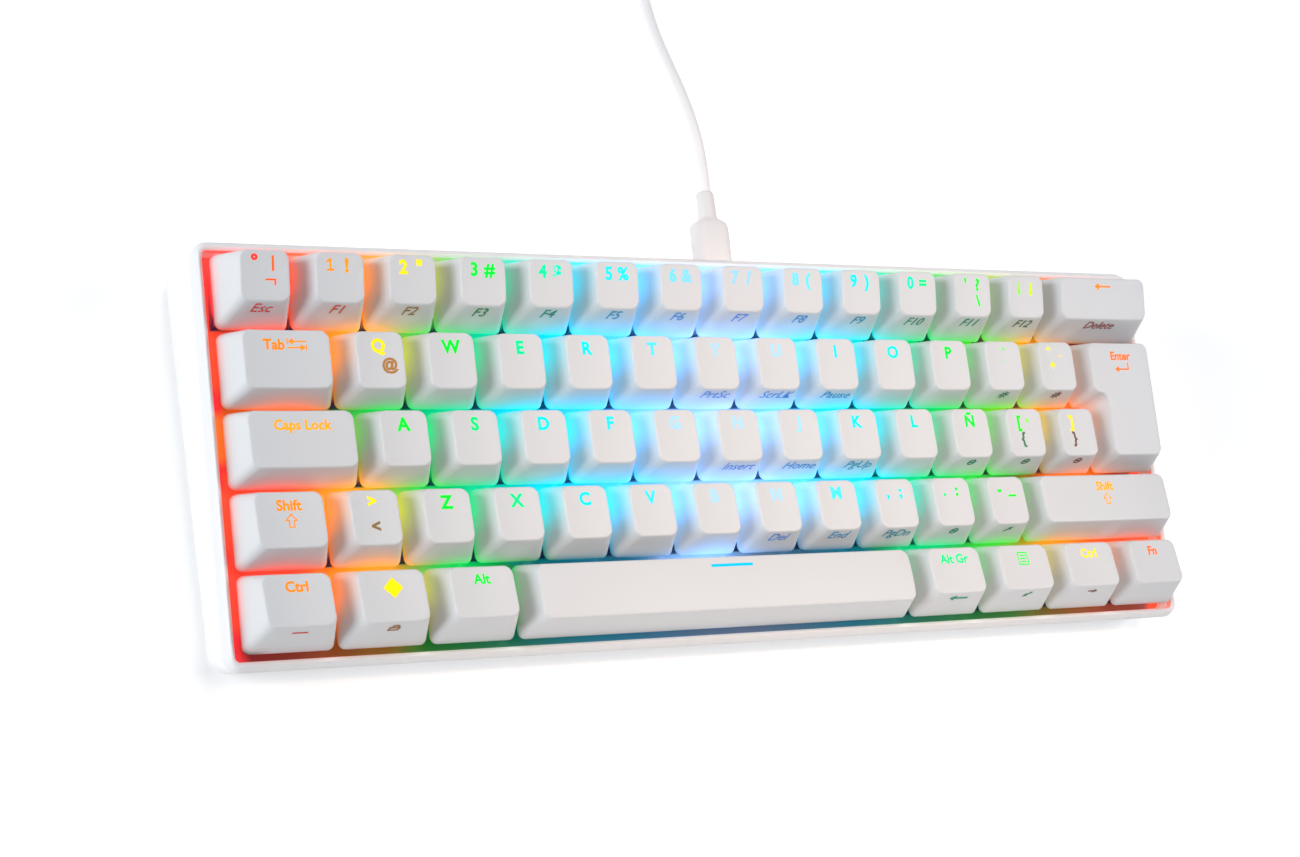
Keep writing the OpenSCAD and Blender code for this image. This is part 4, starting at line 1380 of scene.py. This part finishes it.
def make_tray():
    """The leaning tray, cut level with the desk, with soft lower edges and a closed floor."""
    shape = Shape()
    outline = [p[:2] for p in frame_ring(CASE, CASE_CORNER, 0)]
    rings = []
    for inset, depth in ((0.34, 0.02), (0.1, 0.1), (0.0, 0.34)):
        ring = frame_ring(shrunk(CASE, 2 * inset), CASE_CORNER - inset, 0)
        rings.append([on_desk(*wall_point(x, y, depth, CASE)) for x, y, _ in ring])
    stops = [depth_to_level(x, y, FLOOR_Z + TRAY_SOFT, CASE) for x, y in outline]
    for share in (0.5, 1.0):
        depths = [0.34 + (stop - 0.34) * share for stop in stops]
        rings.append([on_desk(*wall_point(*p, depth, CASE)) for p, depth in zip(outline, depths)])
    high = rings[-1]
    lower = wall_at_level(outline, FLOOR_Z, CASE)
    inward = []
    for p in lower:
        towards = Vector((-p.x / (CASE[0] / 2), -p.y / (CASE[1] / 2), 0))
        inward.append(p + towards * TRAY_SOFT)
    made = [shape.add_ring(r) for r in rings]
    # Painted shade: a dark line round the soft lower edge, where the case meets its shadow
    for t in (0.25, 0.5, 0.75, 1.0):
        amount = EDGE_SHADE_AMOUNT if t in (0.5, 0.75) else 0.0
        ring = [bend(t, a, b, c) for a, b, c in zip(high, lower, inward)]
        made.append(shape.add_ring(ring, [(*EDGE_SHADE, amount)] * len(ring)))
    shape.bridge(*[ring[::-1] for ring in made])
    shape.fan(made[-1][::-1], shape.add_point((0, 0, FLOOR_Z)))
    # the inside: down the wall, then across the floor
    inner = shrunk(CASE, 2 * TRAY_WALL)
    inside = [p[:2] for p in frame_ring(inner, CASE_CORNER - TRAY_WALL + 0.4, 0)]
    top_ring = shape.add_ring([on_desk(x, y, SEAM_Z - 0.02) for x, y in inside])
    foot_ring = shape.add_ring(wall_at_level(inside, FLOOR_Z + TRAY_FLOOR, inner))
    shape.bridge(made[0][::-1], top_ring[::-1], foot_ring[::-1])
    shape.fan(foot_ring, shape.add_point((0, 0, FLOOR_Z + TRAY_FLOOR)))
    tray = shape.build("case_tray", [CASE_WHITE], place=DESK)
    cut_port(tray)
    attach(tray, "base")
    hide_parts("case_bottom")


def cut_port(tray):
    """Opens the back wall for the plug."""
    cutter = Shape()
    lofted(cutter, [section_ring(GRIP[0] + 1.2, GRIP[1] + 1.2, 3.0, y) for y in (43.0, 60.0)])
    place = PLANE @ Matrix.Translation((PORT_X, 0, PORT_Z))
    tool = cutter.build("port_cutter", [CASE_WHITE], place=place)
    cut = tray.modifiers.new("port", "BOOLEAN")
    cut.object = tool
    cut.operation = "DIFFERENCE"
    cut.solver = "EXACT"
    bpy.context.view_layer.update()
    graph = bpy.context.evaluated_depsgraph_get()
    mesh = bpy.data.meshes.new_from_object(tray.evaluated_get(graph))
    tray.modifiers.clear()
    tray.data = mesh
    bpy.data.objects.remove(tool)


make_rim()
make_tray()

# ---------------------------------------------------------------- lit inside
def cut_in_cells(grid, node, cell):
    """Cuts a mesh into cells of that size across X and Y, so that light can be painted on it."""
    low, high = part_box(node)
    for axis, start, stop in ((0, low.x, high.x), (1, low.y, high.y)):
        count = int((stop - start) / (cell * MM))
        for k in range(1, count):
            place = Vector((0, 0, 0))
            place[axis] = start + (stop - start) * k / count
            normal = Vector((0, 0, 0))
            normal[axis] = 1
            geometry = grid.verts[:] + grid.edges[:] + grid.faces[:]
            bmesh.ops.bisect_plane(grid, geom=geometry, plane_co=place, plane_no=normal, dist=1e-7)


def lit_copy(node, name, material, colour_at, cell=0.0):
    """A copy of a CAD node's mesh whose points carry the light that falls there."""
    grid = bmesh.new()
    grid.from_mesh(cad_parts[node].data)
    if cell:
        cut_in_cells(grid, node, cell)
    mesh = bpy.data.meshes.new(name)
    grid.to_mesh(mesh)
    grid.free()
    mesh.materials.clear()
    mesh.materials.append(material)
    attribute = mesh.color_attributes.new("glow", "FLOAT_COLOR", "POINT")
    to_plane = PLANE.inverted()
    values = []
    for vertex in mesh.vertices:
        values.extend(colour_at(*(to_plane @ vertex.co)))
    attribute.data.foreach_set("color", values)
    made = bpy.data.objects.new(name, mesh)
    bpy.context.collection.objects.link(made)
    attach(made, "base")
    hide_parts(node)
    return made


# Painted shade: nearly black on the plate's underside and on a front corner of each clear housing,
# where the caps leave them in shadow
SHADE = (0.004, 0.008, 0.03, 1)
DARK_CORNER = (-2.6, -5.2)


def plate_light(x, y, z):
    return glow_below(x, y) if z > PLATE_TOP_Z - 0.1 else SHADE


def housing_light(x, y, z):
    """Clear switch housings: painted light, bright over the key light at their back, and painted shade,
    dark at a front corner.
    """
    middles = [(light_x, light_y - LED_OFFSET) for light_x, light_y in LIGHTS]
    near_x, near_y = min(middles, key=lambda m: (m[0] - x) ** 2 + (m[1] - y) ** 2)
    if x - near_x < DARK_CORNER[0] and y - near_y < DARK_CORNER[1] and z > PLATE_TOP_Z - 0.1:
        return SHADE
    return glow_below(x, y)


for node_name, name, material, light, cell, slot_name in (
    ("switch_plate", "lit_plate", PLATE_WHITE, plate_light, 2.8, "plate"),
    ("switch_housings_upper", "lit_housings_upper", HOUSING, housing_light, 2.5, "housing"),
    ("switch_housings_lower", "lit_housings_lower", HOUSING, housing_light, 0.0, "housing"),
    ("stabiliser_guides", "lit_guides", GUIDE, plate_light, 0.0, "guide"),
):
    lit_copy(node_name, name, material, light, cell)

# CAD nodes that keep their shapes
for node_name, material in (
    ("rubber_feet", RUBBER), ("plate_screws", STEEL), ("circuit_board", BOARD),
    ("board_components", CHIP), ("usb_port", STEEL), ("switch_contacts", BRASS),
    ("cable_plug_shell", STEEL), ("usb_a_plug_shell", STEEL),
    ("stabiliser_wire_backspace", WIRE), ("stabiliser_wire_enter", WIRE),
    ("stabiliser_wire_right_shift", WIRE), ("stabiliser_wire_space", WIRE),
):
    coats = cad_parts[node_name].data.materials
    coats.clear()
    coats.append(material)

# ---------------------------------------------------------------- floor and light
LAMP_SIZE = 0.8


def add_floor():
    bpy.ops.mesh.primitive_plane_add(size=6, location=(0, 0, -0.2 * MM))
    floor = bpy.context.object
    floor.name = "floor"
    material, tree, shader = new_material("floor_white")
    wire(tree, shader, {"Base Color": (0.92, 0.92, 0.92, 1), "Roughness": 0.9})
    wire(tree, shader, {"Emission Color": (1, 1, 1, 1), "Emission Strength": 0.31})
    floor.data.materials.append(material)


def add_light(name, kind, place, target, power, colour):
    data = bpy.data.lights.new(name, kind)
    data.energy = power
    data.color = colour
    light = bpy.data.objects.new(name, data)
    light.location = place
    light.rotation_euler = (Vector(target) - Vector(place)).to_track_quat("-Z", "Y").to_euler()
    bpy.context.collection.objects.link(light)
    return data


def add_area_light(name, place, power, colour):
    data = add_light(name, "AREA", place, (0, 0, 0), power, colour)
    data.shape = "DISK"
    data.size = LAMP_SIZE


def add_spot_light(name, place, target, angle, power, colour):
    data = add_light(name, "SPOT", place, target, power, colour)
    data.shadow_soft_size = 0.06
    data.spot_size = math.radians(angle)
    data.spot_blend = 1.0


def add_world():
    world = bpy.data.worlds.new("studio")
    bpy.context.scene.world = world
    world.use_nodes = True
    background = world.node_tree.nodes["Background"]
    wire(world.node_tree, background, {"Color": (0.95, 0.975, 1.0, 1), "Strength": 0.10})


add_floor()
add_world()
add_area_light("left", (-1.28, 0.0, 0.46), 11.6, (0.90, 0.955, 1.0))
add_area_light("right", (0.9, -0.1, 1.0), 7.0, (0.95, 0.96, 1.0))
add_area_light("behind", (0.1, 0.75, 1.25), 6.4, (0.93, 0.945, 1.0))
add_area_light("front", (0.1, -1.2, 0.4), 2.0, (0.94, 0.96, 1.0))
add_spot_light("overhead", (0.015, -0.055, 1.2), (0.015, -0.035, 0.0), 17, 20, (1.0, 0.70, 0.48))
bpy.context.scene.view_settings.view_transform = "Standard"
